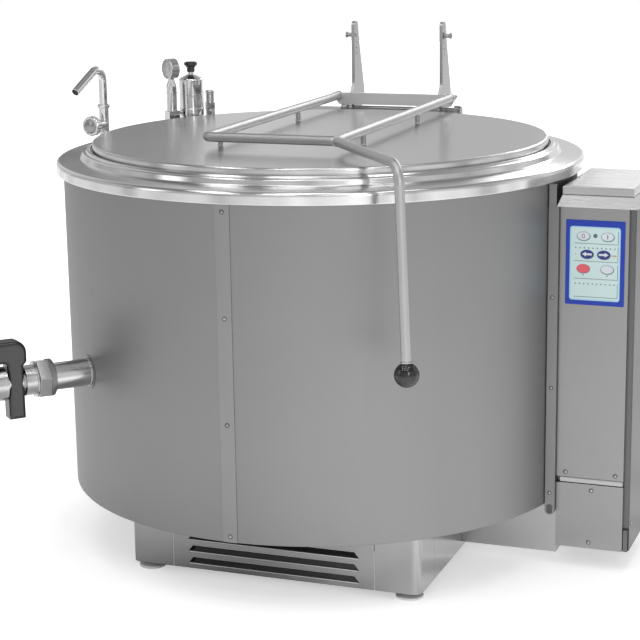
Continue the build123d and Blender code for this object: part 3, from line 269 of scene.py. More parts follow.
def ground_steel(name, colour, grain, rough=0.42, pitch_mm=2.2, depth=0.3, cloud=0.05, streak=0.03,
                 stretch=0.7, edge_mm=1.2):
    """Stainless steel with ground lines along a vector, or 'round' for turned work."""
    # real scratches are under 0.1 mm wide; they are drawn 1.4 to 4 mm wide, or they wouldn't show
    material, tree, place = blank(name)
    normal = add(tree, "NewGeometry").outputs["Normal"]
    if grain == "round":
        centred = add(tree, "VectorMath", {0: place, 1: at(0, 0, 0)}, operation="SUBTRACT")
        parts = add(tree, "SeparateXYZ", {"Vector": centred})
        flat_part = add(tree, "CombineXYZ", {"X": parts.outputs["X"], "Y": parts.outputs["Y"]})
        reach = add(tree, "VectorMath", {0: flat_part}, operation="LENGTH")
        bearing = add(tree, "VectorMath", {0: flat_part}, operation="NORMALIZE")
        slow = add(tree, "VectorMath", {0: bearing, "Scale": 0.004}, operation="SCALE")
        spread = add(tree, "CombineXYZ", {"X": reach.outputs["Value"], "Z": parts.outputs["Z"]})
        lay = add(tree, "VectorMath", {0: spread, 1: slow})
        along = add(tree, "VectorMath", {0: (0, 0, 1), 1: centred}, operation="CROSS_PRODUCT")
        scale = (1.0, 1.0, 1.0)
    else:
        lay = place
        along = tuple(g + tilt for g, tilt in zip(grain, (0.021, 0.034, 0.013)))
        scale = tuple(1.0 - 0.99 * min(1.0, abs(g)) for g in grain)
    across = add(tree, "VectorMath", {0: along, 1: normal}, operation="CROSS_PRODUCT")
    tangent = add(tree, "VectorMath", {0: across}, operation="NORMALIZE")
    squeezed = add(tree, "Mapping", {"Vector": lay, "Scale": scale})
    lines = add(tree, "TexNoise", {"Vector": squeezed, "Scale": 1000 / pitch_mm,
                                   "Detail": 3.0, "Roughness": 0.62})
    bands = add(tree, "TexNoise", {"Vector": squeezed, "Scale": 1000 / pitch_mm / 9, "Detail": 2.0})
    handling = add(tree, "TexNoise", {"Vector": place, "Scale": 4.5, "Detail": 3.0})
    both = add(tree, "Mix", {"Factor": 0.35, 2: lines, 3: bands}, data_type="FLOAT")
    toned = add(tree, "MapRange", {"Value": both, **span(0.28, 0.72, 1 - streak, 1 + streak)})
    clouded = add(tree, "MapRange", {"Value": handling, **span(*noise_span, 1 - cloud, 1 + cloud)})
    value = add(tree, "Math", {0: toned, 1: clouded}, operation="MULTIPLY")
    tinted = add(tree, "VectorMath", {0: linear(colour)[:3], "Scale": value}, operation="SCALE")
    rougher = add(tree, "MapRange", {"Value": both, **span(*noise_span, rough * (1 - 3 * streak),
                                                           rough * (1 + 3 * streak))})
    smeared = add(tree, "Math", {0: handling, 1: 1.2 * cloud, 2: rougher}, operation="MULTIPLY_ADD")
    surface(tree, tinted, lines, depth, 0.0001, edge_mm, Metallic=1.0, Roughness=smeared,
            Anisotropic=stretch, Tangent=tangent)
    return material


def dress(material, *names):
    """Puts a material on CAD nodes."""
    for name in names:
        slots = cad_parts[name].data.materials
        slots.clear()
        slots.append(material)


def made_piece(name, body, material, bm, smooth_angle=40):
    """Turns a bmesh into a piece that rides on a body."""
    bmesh.ops.remove_doubles(bm, verts=bm.verts[:], dist=1e-7)
    bmesh.ops.recalc_face_normals(bm, faces=bm.faces[:])
    for face in bm.faces:
        face.smooth = True
    mesh = bpy.data.meshes.new(name)
    bm.to_mesh(mesh)
    bm.free()
    mesh.set_sharp_from_angle(angle=radians(smooth_angle))
    mesh.materials.append(material)
    made = placed(name, mesh)
    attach(made, body)
    return made


def seat(spot, axis, turn=0.0):
    """Frame in millimetres at a spot off the kettle's axis, with its z along an axis."""
    z = Vector(axis).normalized()
    x = Vector((0, 0, 1)).cross(z) if abs(z.z) < 0.9 else Vector((1, 0, 0)).cross(z)
    x.normalize()
    turned_frame = Matrix((x, z.cross(x), z)).transposed().to_4x4() @ Matrix.Rotation(turn, 4, "Z")
    return Matrix.Translation(at(*spot)) @ turned_frame @ Matrix.Scale(0.001, 4)


def bridge(bm, here, there):
    """Closed band of faces between two rings."""
    for k in range(len(here)):
        n = (k + 1) % len(here)
        bm.faces.new((here[k], here[n], there[n], there[k]))


def tube(bm, points, radii, closed=False, sides=10):
    """Round section carried along points, all in metres."""
    rings = []
    count = len(points)
    for i, point in enumerate(points):
        before = points[i - 1] if closed or i > 0 else point
        after = points[(i + 1) % count] if closed or i < count - 1 else point
        forward = (after - before).normalized()
        side = forward.orthogonal().normalized() if not rings else (
            last_side - forward * last_side.dot(forward)).normalized()
        last_side = side
        over = forward.cross(side)
        rings.append([bm.verts.new(point + radii[i] * (cos(a) * side + sin(a) * over))
                      for a in (2 * pi * k / sides for k in range(sides))])
    for i in range(count if closed else count - 1):
        here, there = rings[i], rings[(i + 1) % count]
        shift = 0
        if closed and i == count - 1:
            shift = min(range(sides), key=lambda s: (there[s].co - here[0].co).length)
        bridge(bm, here, there[shift:] + there[:shift])
    if not closed:
        bm.faces.new(rings[0][::-1])
        bm.faces.new(rings[-1])


def lathe(bm, place, outline, steps=48, wave=None):
    """Turns an outline of (radius, height) mm round a frame's z; wave changes the radius."""
    rings = []
    for radius, height in outline:
        if radius < 1e-6:
            rings.append([bm.verts.new(place @ Vector((0, 0, height)))])
            continue
        ring = []
        for k in range(steps):
            a = 2 * pi * k / steps
            r = radius * (wave(a) if wave else 1)
            ring.append(bm.verts.new(place @ Vector((r * cos(a), r * sin(a), height))))
        rings.append(ring)
    for here, there in zip(rings, rings[1:]):
        for k in range(steps):
            n = (k + 1) % steps
            corners = [here[k % len(here)], here[n % len(here)], there[n % len(there)],
                       there[k % len(there)]]
            unique = list(dict.fromkeys(corners))
            if len(unique) > 2:
                bm.faces.new(unique)


def turned(name, body, material, place, outline, steps=48, wave=None, smooth_angle=40):
    """Piece turned from one outline."""
    bm = bmesh.new()
    lathe(bm, place, outline, steps, wave)
    return made_piece(name, body, material, bm, smooth_angle)


def rounded(corners, steps=6):
    """Outline of (radius, height) mm through corners, each rounded by its third value."""
    points = []
    for i, corner in enumerate(corners):
        here = Vector(corner[:2])
        if len(corner) < 3:
            points.append(tuple(here))
            continue
        size = corner[2]
        before = (Vector(corners[i - 1][:2]) - here).normalized()
        after = (Vector(corners[(i + 1) % len(corners)][:2]) - here).normalized()
        half = before.angle(after) / 2
        middle = here + (before + after).normalized() * size / sin(half)
        start = here + before * size / tan(half) - middle
        end = here + after * size / tan(half) - middle
        points += [tuple(middle + start.lerp(end, k / steps).normalized() * size)
                   for k in range(steps + 1)]
    return points


def folded_strip(name, body, material, section, x0, x1):
    """Sheet section of (y, z) mm drawn out along x."""
    bm = bmesh.new()
    ends = [[bm.verts.new(at(x, y, z)) for y, z in section] for x in (x0, x1)]
    bridge(bm, *ends)
    bm.faces.new(ends[0][::-1])
    bm.faces.new(ends[1])
    return made_piece(name, body, material, bm, 25)


dress(ground_steel("stainless_mill_finish", "#757575", sideways, rough=0.45, pitch_mm=4.0,
                   cloud=0.1, stretch=0.2), "cladding_floor", "jacket_supports", "base_frame")
dress(ground_steel("stainless_louvre_ground_level", "#9E9E9E", sideways, rough=0.16, pitch_mm=1.8,
                   depth=0.12, edge_mm=1.6), "louvre_panel")
dress(ground_steel("stainless_corner_ground_upright", "#A0A0A0", upright, rough=0.2, pitch_mm=1.8,
                   depth=0.15, cloud=0.04), "base_corners", "base_panels")
dress(ground_steel("stainless_duct_ground_level", "#A2A2A2", sideways, rough=0.28, pitch_mm=2.4,
                   cloud=0.06), "cable_duct")
foot_steel = ground_steel("stainless_foot_turned", "#F4F4F3", upright, pitch_mm=1.6, cloud=0.08,
                          stretch=0.2, edge_mm=1.5)
foot_steel.node_tree.nodes["Principled BSDF"].inputs["Metallic"].default_value = 0.25
dress(foot_steel, "foot_front_left", "foot_rear_left", "foot_front_right", "foot_rear_right")

# the pressed lip under each louvre opening is toned near white, a painted
# highlight along its edge
louvre_lip_highlight_steel = ground_steel("stainless_louvre_lip_painted_highlight", "#F2F2F2", sideways, rough=0.3, pitch_mm=1.5,
                         depth=0.1, cloud=0.03, stretch=0.4)
louvre_middle, louvre_half = 40.0, 197.5 + 1.5
lowest_lip, louvre_pitch, lip_front = 30.0 - 0.9, 27.3, -440.0 - 1.0
lip_radius, lip_end, lip_taper = 1.1, 0.2, 2
for number in range(3):
    bm = bmesh.new()
    ends = [(-louvre_half, lip_end), (lip_taper - louvre_half, lip_radius),
            (louvre_half - lip_taper, lip_radius), (louvre_half, lip_end)]
    tube(bm, [at(louvre_middle + x, lip_front, lowest_lip + louvre_pitch * number)
              for x, r in ends], [r / 1000 for x, r in ends])
    made_piece("louvre_lip_%d" % (number + 1), "kettle", louvre_lip_highlight_steel, bm)


# Inside of the body: pressed vessel and jacket, mineral wool between jacket
# and cladding, tube heaters. The vessel is glass-bead blasted and even, the
# wool is a yellow-brown felt of loose fibres.
dress(ground_steel("stainless_vessel_blasted", "#A9A9A7", "round", pitch_mm=3.0, cloud=0.06,
                   streak=0.04, stretch=0.3),
      "vessel_bottom", "vessel_wall", "jacket_shell", "lid_underside")

wool, tree, place = blank("mineral_wool")
fibres = add(tree, "TexNoise", {"Vector": place, "Scale": 260.0, "Detail": 6.0, "Distortion": 1.4})
tone = add(tree, "ValToRGB", {"Fac": fibres}, [(0.3, "#8A7A4C"), (0.7, "#D2C391")])
surface(tree, tone, fibres, 0.8, 0.003, Roughness=0.95)
dress(wool, "insulation")

dress(ground_steel("stainless_tube_drawn", "#8D8D8B", rearward, rough=0.3, pitch_mm=1.6,
                   cloud=0.06), "heater")


# Cladding: two half shells of 1.5 mm stainless sheet, belt-ground so that the
# lines run upright, lapped under a seam strip at the front and the rear. The
# ground face scatters light sideways and looks an even mid grey.
dress(ground_steel("stainless_cladding_ground_upright", "#8B8B8B", upright, rough=0.44,
                   pitch_mm=2.6, depth=0.35, cloud=0.02, stretch=0.6),
      "cladding_left", "cladding_right")
dress(ground_steel("stainless_seam_ground_upright", "#909090", upright, cloud=0.03, stretch=0.6,
                   edge_mm=0.6), "seam_strips")


# Rim ring: one spun stainless ring with a rounded outer band, a sloping
# flange, a collar and a rolled bead. It is polished in the round, so bright
# and dim parts of the room smear across it from edge to edge.
rim_steel = ground_steel("stainless_rim_polished_round", "#D0D0D0", "round", rough=0.19,
                         pitch_mm=1.8, depth=0.04, cloud=0.02, streak=0.02, stretch=0.75,
                         edge_mm=0.4)
rim_section = rounded([
    (585, 862), (600, 862, 2), (600, 865), (600, 879), (600, 888, 9), (546, 893, 4), (541, 906, 5),
    (534.5, 907.5, 2), (531, 911.5, 2.4), (523.5, 911.5, 2.4), (523.5, 896, 1), (505, 896, 1.5),
    (505, 893), (526, 893, 2), (526, 909, 1), (528.5, 909, 1), (531, 904.5, 2), (538.5, 903, 3),
    (543.5, 890.2, 5), (597.5, 885.5, 6.5), (597.5, 864.5), (585, 864.5)])
kettle_axis = seat((0, 0, 0), upright)
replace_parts(turned("spun_rim_ring", "kettle", rim_steel, kettle_axis,
                   rim_section + rim_section[:1], steps=240), "rim_ring")


# Drain outlet: a polished two inch pipe with a welded flange, a hexagon union
# nut and a cast stainless cock, turned by a black moulded handle.
drain_out = facing(-131.7)
drain_height = 446.0
pipe_steel = ground_steel("stainless_pipe_polished", "#CACACA", (0.665, 0.747, 0), rough=0.13,
                          pitch_mm=1.6, stretch=0.3, edge_mm=0.8)
dress(pipe_steel, "drain_pipe")
# the cover ring beyond the pipe's own radius is dull ground sheet
tree = pipe_steel.node_tree
pipe_metal = tree.nodes["Principled BSDF"]
ground_tone, ground_rough = (pipe_metal.inputs[name].links[0].from_socket
                             for name in ("Base Color", "Roughness"))
from_bore = add(tree, "VectorMath", {0: add(tree, "TexCoord").outputs["Object"],
                                     1: at(0, 0, drain_height)}, operation="SUBTRACT")
aside = add(tree, "VectorMath", {0: from_bore, 1: (-0.6652, -0.7466, 0)}, operation="CROSS_PRODUCT")
off_bore = add(tree, "VectorMath", {0: aside}, operation="LENGTH")
beyond = add(tree, "MapRange", {"Value": off_bore.outputs["Value"],
                                **span(0.0306, 0.0312)})
worn = add(tree, "TexNoise", {"Vector": from_bore, "Scale": 120.0, "Detail": 3.0})
ring_rough = add(tree, "MapRange", {"Value": worn, **span(0, 1, 0.38, 0.5)})
ring_tone = add(tree, "ValToRGB", {"Fac": worn}, [(0, "#7C7C7C"), (1, "#8E8E8E")])
tone = add(tree, "Mix", {"Factor": beyond, 6: ground_tone, 7: ring_tone}, data_type="RGBA")
dull = add(tree, "Mix", {"Factor": beyond, 2: ground_rough, 3: ring_rough}, data_type="FLOAT")
tree.links.new(tone.outputs[2], pipe_metal.inputs["Base Color"])
tree.links.new(dull.outputs[0], pipe_metal.inputs["Roughness"])


def cast_metal(name, light, dark, rough, grit_mm, depth):
    """Cast or welded steel: fine grain left by the mould, dulled in the hollows."""
    material, tree, place = blank(name)
    skin = add(tree, "TexNoise", {"Vector": place, "Scale": 1000 / grit_mm, "Detail": 5.0})
    stain = add(tree, "TexNoise", {"Vector": place, "Scale": 28.0, "Detail": 3.0})
    blend = add(tree, "Mix", {"Factor": 0.5, 2: skin, 3: stain}, data_type="FLOAT")
    tone = add(tree, "ValToRGB", {"Fac": blend}, [(0.32, dark), (0.66, light)])
    dull = add(tree, "MapRange", {"Value": stain, **span(*noise_span, rough, rough + 0.12)})
    surface(tree, tone, skin, depth, 0.0004, 0.8, Metallic=1.0, Roughness=dull)
    return material


cock_casting = cast_metal("stainless_investment_cast", "#D2D2D2", "#ACACAC", 0.16, 1.0, 0.14)
dress(cock_casting, "drain_valve_body", "drain_plug")
dress(ground_steel("stainless_nut_machined", "#B4B4B4", upright, rough=0.2, pitch_mm=1.4, depth=0.1,
                   stretch=0.4, edge_mm=1.0), "drain_union_nut")


def moulded_black(name, light, dark, rough, mottle_mm):
    """Black phenolic moulding: faint flow marks under a polished skin."""
    material, tree, place = blank(name)
    flow = add(tree, "TexNoise", {"Vector": place, "Scale": 1000 / mottle_mm, "Detail": 4.0})
    tone = add(tree, "ValToRGB", {"Fac": flow}, [(0.35, dark), (0.7, light)])
    dull = add(tree, "MapRange", {"Value": flow, **span(*noise_span, rough, rough + 0.08)})
    surface(tree, tone, flow, 0.12, 0.0004, IOR=1.6, Roughness=dull)
    return material


phenolic_satin = moulded_black("phenolic_handle_satin", "#343435", "#242425", 0.16, 5.0)
dress(phenolic_satin, "drain_handle")

weld_metal = cast_metal("stainless_weld_bead", "#E2E2E2", "#B4B4B4", 0.2, 1.0, 0.5)


def rippled(size, steps):
    """Radii in metres of a weld bead with a ripple every four steps."""
    return [size / 1000 * (1 + 0.14 * cos(pi * k / 2)) for k in range(steps)]


def weld_ring(name, body, spot, axis, radius, size, ripple_mm=2.4):
    """Rippled weld bead round a tube, in millimetres."""
    bm = bmesh.new()
    place = seat(spot, axis)
    steps = 4 * max(12, int(2 * pi * radius / ripple_mm))
    points = [place @ Vector((radius * cos(a), radius * sin(a), 0))
              for a in (2 * pi * k / steps for k in range(steps))]
    tube(bm, points, rippled(size, steps), closed=True, sides=8)
    return made_piece(name, body, weld_metal, bm, 80)


def weld_line(name, body, start, end, size, ripple_mm=2.4):
    """Rippled weld bead along a straight joint, in millimetres."""
    bm = bmesh.new()
    start, end = Vector(start), Vector(end)
    steps = max(8, int((end - start).length / (ripple_mm / 4)))
    radii = rippled(size, steps + 1)
    radii[0] = radii[-1] = 0.4 * size / 1000
    tube(bm, [at(*start.lerp(end, k / steps)) for k in range(steps + 1)], radii, sides=8)
    return made_piece(name, body, weld_metal, bm, 80)


def on_drain(reach):
    """Spot on the drain's axis at a reach from the kettle's axis."""
    return drain_out * reach + Vector((0, 0, drain_height))


for name, reach, radius, size in (("drain_flange_weld", 670.6, 30.2, 1.3),
                                  ("drain_escutcheon_bead", 588.0, 30.2, 1.0),
                                  ("drain_neck_weld", 736.6, 21.0, 1.2)):
    weld_ring(name, "kettle", on_drain(reach), drain_out, radius, size)

# union thread between the flange and the nut
threaded = [(28.0, 1.0)] + [(36.5 + 0.9 * (k % 2), 1.0 + 0.9 * k) for k in range(5)]
turned("drain_socket_ridge", "kettle", cock_casting, seat(on_drain(708.0), drain_out),
       threaded + [(28.0, 4.8)])


# Tap: chromed brass pillar tap on the rim with a bent swivel spout and a
# lobed wheel. Chrome plate is a near mirror with faint polishing haze.


def chromed_brass(name, colour, rough):
    """Bright chrome plate over polished brass."""
    material, tree, place = blank(name)
    haze = add(tree, "TexNoise", {"Vector": place, "Scale": 90.0, "Detail": 4.0})
    tone = add(tree, "MapRange", {"Value": haze, **span(*noise_span, 0.92, 1.05)})
    tinted = add(tree, "VectorMath", {0: linear(colour)[:3], "Scale": tone}, operation="SCALE")
    dull = add(tree, "MapRange", {"Value": haze, **span(*noise_span, rough, rough + 0.06)})
    surface(tree, tinted, haze, 0.1, 0.001, 0.6, Metallic=1.0, Roughness=dull)
    return material


tap_chrome = chromed_brass("chromed_brass_tap", "#D6D6D6", 0.05)
dress(tap_chrome, "tap_body", "tap_knob", "tap_spout")
tap_button = chromed_brass("chromed_button_satin", "#9A9A9A", 0.22)
rubber = moulded_black("rubber_insert", "#1C1C1C", "#101010", 0.6, 3.0)

fitting_radius = 570.0
tap_stand = fitting_radius * facing(176.4)
tap_out = facing(-100.0)
tap_collar = 978.0
spout_reach, spout_rise, spout_fall = 107.0, 39, 63
spout_mouth = tap_stand + tap_out * spout_reach + Vector((0, 0, tap_collar + spout_rise))
spout_run = (tap_out * spout_reach - Vector((0, 0, spout_fall))).normalized()
turned("spout_aerator", "spout", rubber, seat(spout_mouth - spout_run * 2.5, spout_run),
       [(0, 1.2), (7.6, 1.2), (7.6, 1.9), (8.4, 1.6), (8.4, -1.2), (6.4, -1.2), (6.4, 0), (4.4, 0),
        (4.4, -1.2), (2.2, -1.2), (2.2, 0), (0, 0)])
turned("tap_collar_knurl", "kettle", tap_chrome,
       seat(tap_stand + Vector((0, 0, tap_collar - 6.5)), upright),
       [(14.0, 0), (15.6, 0.4), (15.6, 5.0), (14.0, 5.4)], steps=72,
       wave=lambda a: 1 - 0.018 * (cos(24 * a) > 0), smooth_angle=25)
wheel_reach, wheel_height = 54.3, 931
turned("tap_wheel_button", "tap_wheel", tap_button,
       seat(tap_stand + tap_out * wheel_reach + Vector((0, 0, wheel_height)), tap_out),
       [(17.2, 0), (17.2, 0.5), (16.4, 1.4), (15.4, 1.4), (14.6, 0.5), (6.0, 0.7), (5.2, 1.3),
        (0, 1.4)])


# Safety fittings: a manifold on the rim with a pressure gauge on a stem, a
# cylindrical safety valve with a black lift knob and a small vacuum valve.
valve_chrome = chromed_brass("chromed_brass_valve", "#D0D0D0", 0.07)
dress(valve_chrome, "safety_manifold", "safety_valve", "vacuum_valve")
dress(chromed_brass("stainless_gauge_case", "#C8C8C8", 0.12), "gauge_case")
phenolic_gloss = moulded_black("phenolic_knob_gloss", "#1D1D1E", "#111112", 0.1, 7.0)
dress(phenolic_gloss, "safety_valve_knob")

safety_stand = fitting_radius * facing(145.2)
row_along = facing(55.2)
row_front = -row_along
manifold_top = 914.0

turned("safety_valve_bolt", "kettle", valve_chrome,
       seat(safety_stand + row_front * 36.0 + Vector((0, 0, manifold_top + 17)), row_front),
       [(0, 0), (5.2, 0), (5.2, 0.8), (4.3, 1.0), (4.3, 4.2), (3.8, 4.8), (0, 4.8)], steps=6,
       smooth_angle=20)
for name, offset, low, radius, tall in (("vacuum_valve_knurl", 54.0, 58.0, 11.5, 7.0),
                                        ("safety_valve_band", 0.0, 60.0, 30.9, 3.0),
                                        ("gauge_stem_ring", -58.0, 66.0, 13.5, 4.0)):
    ribs = int(radius * 3)
    knurl = (lambda a: 1 - 0.02 * (cos(ribs * a) > 0)) if "knurl" in name else None
    turned(name, "kettle", valve_chrome,
           seat(safety_stand + row_along * offset + Vector((0, 0, manifold_top + low)), upright),
           [(radius - 1.2, 0), (radius, 0.5), (radius, tall - 0.5), (radius - 1.2, tall)],
           steps=ribs * 4, wave=knurl, smooth_angle=25)

dial_paint, tree, place = blank("white_enamelled_dial")
peel = add(tree, "TexNoise", {"Vector": place, "Scale": 500.0, "Detail": 2.0})
tone = add(tree, "ValToRGB", {"Fac": peel}, [(0, "#D2D2CF"), (1, "#E4E4E1")])
enamel = add(tree, "BsdfPrincipled", {"Base Color": tone, "Roughness": 0.4})
add(tree, "OutputMaterial", {"Surface": enamel})
dress(dial_paint, "gauge_dial")
needle_black = moulded_black("needle_black_lacquer", "#232325", "#131314", 0.4, 2.0)
dress(needle_black, "gauge_needle")
scale_red = moulded_black("red_scale_ink", "#C4372F", "#A92B25", 0.45, 2.0)

gauge_spot = safety_stand + row_along * -58.0 + Vector((0, 0, 1042.0))
dial_frame = seat(gauge_spot + row_front * 3.0, row_front)


def dial_mark(bm, inner, outer, start, end, steps=1):
    """Flat printed mark between two radii and two angles of the dial, clockwise from the top."""
    for step in range(steps):
        a0 = start + (end - start) * step / steps
        a1 = start + (end - start) * (step + 1) / steps
        corners = [(r * sin(a), r * cos(a)) for a, r in
                   ((a0, inner), (a0, outer), (a1, outer), (a1, inner))]
        bottom, top = ([bm.verts.new(dial_frame @ Vector((x, y, z))) for x, y in corners]
                       for z in (0.02, 0.14))
        bm.faces.new(top)
        bm.faces.new(bottom[::-1])
        bridge(bm, bottom, top)


bm = bmesh.new()
for mark in range(31):
    middle = radians(-135 + 9 * mark)
    long_mark = mark % 5 == 0
    half = 0.022 if long_mark else 0.011
    dial_mark(bm, 16.0 if long_mark else 18.0, 20.5, middle - half, middle + half)
made_piece("gauge_scale", "kettle", needle_black, bm, 20)
bm = bmesh.new()
dial_mark(bm, 20.9, 22.2, radians(90), radians(135), 12)
made_piece("gauge_red_arc", "kettle", scale_red, bm, 20)
for number in range(4):
    turn = radians(-135 + 90 * number)
    figure = bpy.data.curves.new("gauge_figure_%d" % number, "FONT")
    figure.body = str(number)
    figure.align_x = figure.align_y = "CENTER"
    figure.size = 5.2
    figure.extrude = 0.05
    figure.materials.append(needle_black)
    written = placed("gauge_figure_%d" % number, figure)
    written.matrix_world = dial_frame @ Matrix.Translation((12.6 * sin(turn),
                                                            12.6 * cos(turn), 0.08))
    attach(written, "kettle")

pane, tree, place = blank("gauge_window_glass")
smear = add(tree, "TexNoise", {"Vector": place, "Scale": 60.0, "Detail": 3.0})
dull = add(tree, "MapRange", {"Value": smear, **span(0, 1, 0.02, 0.08)})
gloss = add(tree, "BsdfPrincipled", {"Base Color": linear("#EEF2F2"), "Roughness": dull,
                                     "IOR": 1.5, "Alpha": 0.22})
add(tree, "OutputMaterial", {"Surface": gloss})
dress(pane, "gauge_glass")


# Hinge housing, lid and its tube frame: ground sheet covers at the rear, a
# spun lid ground in straight lines, polished round tubes welded over it and
# sawn plate arms that pull on the balance springs.
dress(ground_steel("stainless_housing_ground_upright", "#9C9C9C", upright, rough=0.3),
      "hinge_housing")
dress(ground_steel("steel_shaft_oiled", "#909090", sideways, rough=0.28, pitch_mm=1.5, cloud=0.1,
                   stretch=0.2), "hinge_shaft")
lid_steel = ground_steel("stainless_lid_ground_across", "#C4C4C4", sideways, rough=0.24,
                         pitch_mm=1.6, depth=0.03, cloud=0.02, streak=0.012, stretch=0.8,
                         edge_mm=0.4)
lid_section = rounded([(0, 924), (517, 924, 4), (517, 896), (519, 896), (519, 919),
                       (519, 926, 6), (512, 926), (0, 926)])
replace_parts(turned("spun_lid", "lid", lid_steel, kettle_axis, lid_section, steps=240), "lid_shell")
bar_steel = ground_steel("stainless_tube_polished", "#A6A6A6", rearward, pitch_mm=1.5, depth=0.08,
                         cloud=0.03, stretch=0.4, edge_mm=0.4)
dress(bar_steel, "lid_bars")
handle_steel = ground_steel("stainless_handle_polished", "#B6B6B6", upright, rough=0.4,
                            pitch_mm=1.5, depth=0.08, cloud=0.03, stretch=0.4, edge_mm=0.4)
dress(handle_steel, "lid_handle")
dress(ground_steel("stainless_plate_arm", "#AFAFAF", upright, rough=0.32, pitch_mm=2.0, stretch=0.5,
                   edge_mm=1.0), "balance_arms")
dress(ground_steel("stainless_plate_ground_level", "#E6E6E6", sideways, rough=0.32, pitch_mm=2.0,
                   stretch=0.6), "hinge_plate")
dress(phenolic_gloss, "ball_knob")

lid_top = 926.0
bar_height = 956.0
bar_side = 150.0
bar_front = -305.0
plate_face = 543.0
bar_radius = 10.5
posts = [(-bar_side, -225), (-bar_side, 250), (bar_side, -130), (bar_side, 265)]
for number, post in enumerate(posts, 1):
    weld_ring("lid_post_foot_weld_%d" % number, "lid", (*post, lid_top + 0.4), upright, 6.4, 1.3)
    weld_ring("lid_post_head_weld_%d" % number, "lid", (*post, bar_height - 9.6), upright, 6.0, 1.1)
for name, x in (("bar_plate_weld_left", -bar_side), ("bar_plate_weld_right", bar_side)):
    weld_ring(name, "lid", (x, plate_face - 0.8, bar_height), rearward, bar_radius + 0.4, 2.0)
frame_corner = 14.0
corner_loss = frame_corner * (1 - sqrt(0.5))
bend = Vector((384.0, -600.0, bar_height))
handle_start = Vector((bar_side - corner_loss, bar_front + corner_loss, bar_height))
handle_way = (bend - handle_start).normalized()
weld_ring("handle_bar_weld", "lid", handle_start + handle_way * 11.5, handle_way, 10.2, 1.4)

# the right tube's end is closed by a pressed dome behind the plate
dome = [(bar_radius * cos(t), 1.5 + 0.7 * (bar_radius * sin(t))) for t in
        (radians(9 * k) for k in range(1, 10))]
turned("right_bar_dome", "lid", bar_steel, seat((bar_side, 548.2, bar_height), rearward),
       [(0, 0), (bar_radius, 0), (bar_radius, 1.5)] + dome + [(0, 1.5 + 0.7 * bar_radius)])

# moulded parting line round the black ball
ball = Vector((408.1, -630.0, 550.0))
grip = (ball - bend).normalized()
turned("ball_parting_line", "lid", phenolic_satin, seat(ball, grip),
       [(24.8, -0.9), (25.3, -0.45), (25.3, 0.45), (24.8, 0.9)], steps=96)
turned("ball_ferrule", "lid", handle_steel, seat(ball - grip * 24.0, -grip),
       [(10.0, -1.2), (12.2, -0.6), (12.2, 1.6), (11.4, 2.4), (10.0, 2.4)])

# arms: fillet welds on the plate, collars and split rings on the spring pins
arm_x, arm_half, weld_face = 118.0, 4.6, 549.2
pin_y, pin_height, lug_height = 580.0, 1109.0, 870.8
for side_name, side in (("left", -1), ("right", 1)):
    for face_name, face in (("inner", -arm_half), ("outer", arm_half)):
        x = side * (arm_x + face)
        weld_line("arm_weld_%s_%s" % (side_name, face_name), "lid", (x, weld_face, 942),
                  (x, weld_face, 961), 1.5)
    bm = bmesh.new()
    lathe(bm, seat((side * 138.5, pin_y, pin_height), (side, 0, 0)),
          [(5.0, -1.0), (7.4, -0.6), (7.6, 0.6), (7.4, 1.8), (5.0, 2.2)])
    lathe(bm, seat((side * 124.2, pin_y, pin_height), (side, 0, 0)),
          [(5.0, -1.6), (8.2, -1.6), (8.2, 0.6), (5.0, 1.0)])
    made_piece("spring_pin_collar_%s" % side_name, "lid", bar_steel, bm)
    x = side * 155.4
    weld_line("lug_weld_%s" % side_name, "kettle", (x, 612, lug_height), (x, 660, lug_height),
              1.6)


# Control column: a folded sheet housing with screwed front panels, a side
# cover and a cap with a flared skirt. A narrow channel carries the leads
# between the column and the cladding.
# housing and side cover toned darker than the front panels: a painted shade on the column's side
dress(ground_steel("stainless_column_ground_upright_painted_shade", "#686868", upright, rough=0.34, cloud=0.04,
                   edge_mm=1.6), "column_housing", "column_side_cover")
dress(ground_steel("stainless_panel_ground_upright", "#909090", upright, rough=0.36, cloud=0.03,
                   edge_mm=1.6), "column_front_panel", "column_lower_panel")
cap_sheet = ground_steel("stainless_cap_ground_level", "#A8A8A8", sideways, rough=0.24, edge_mm=1.8)
dress(cap_sheet, "column_cover")
# the flared skirt below the cap's lip is painted brighter, a painted highlight,
# with a painted shadow line in the groove between them
tree = cap_sheet.node_tree
cap_metal = tree.nodes["Principled BSDF"]
rise = add(tree, "SeparateXYZ", {"Vector": add(tree, "TexCoord").outputs["Object"]}).outputs["Z"]
on_skirt = add(tree, "MapRange", {"Value": rise, **span(0.8352, 0.8344)})
skirt_painted_highlight = add(tree, "MapRange", {"Value": on_skirt, **span(0, 1, 1.0, 1.75)})
skirt_highlight_tone = add(tree, "VectorMath", {0: cap_metal.inputs["Base Color"].links[0].from_socket,
                                      "Scale": skirt_painted_highlight}, operation="SCALE")
in_groove = add(tree, "Math", {0: rise, 1: 0.8362, 2: 0.0009}, operation="COMPARE")
groove_painted_shadow = add(tree, "MapRange", {"Value": in_groove, **span(0, 1, 1.0, 0.35)})
groove_shadow_tone = add(tree, "VectorMath", {0: skirt_highlight_tone, "Scale": groove_painted_shadow}, operation="SCALE")
tree.links.new(groove_shadow_tone.outputs[0], cap_metal.inputs["Base Color"])
channel_sheet = ground_steel("stainless_channel_ground_upright", "#7C7C7C", upright, rough=0.3,
                             edge_mm=1.6)
dress(channel_sheet, "side_channel")
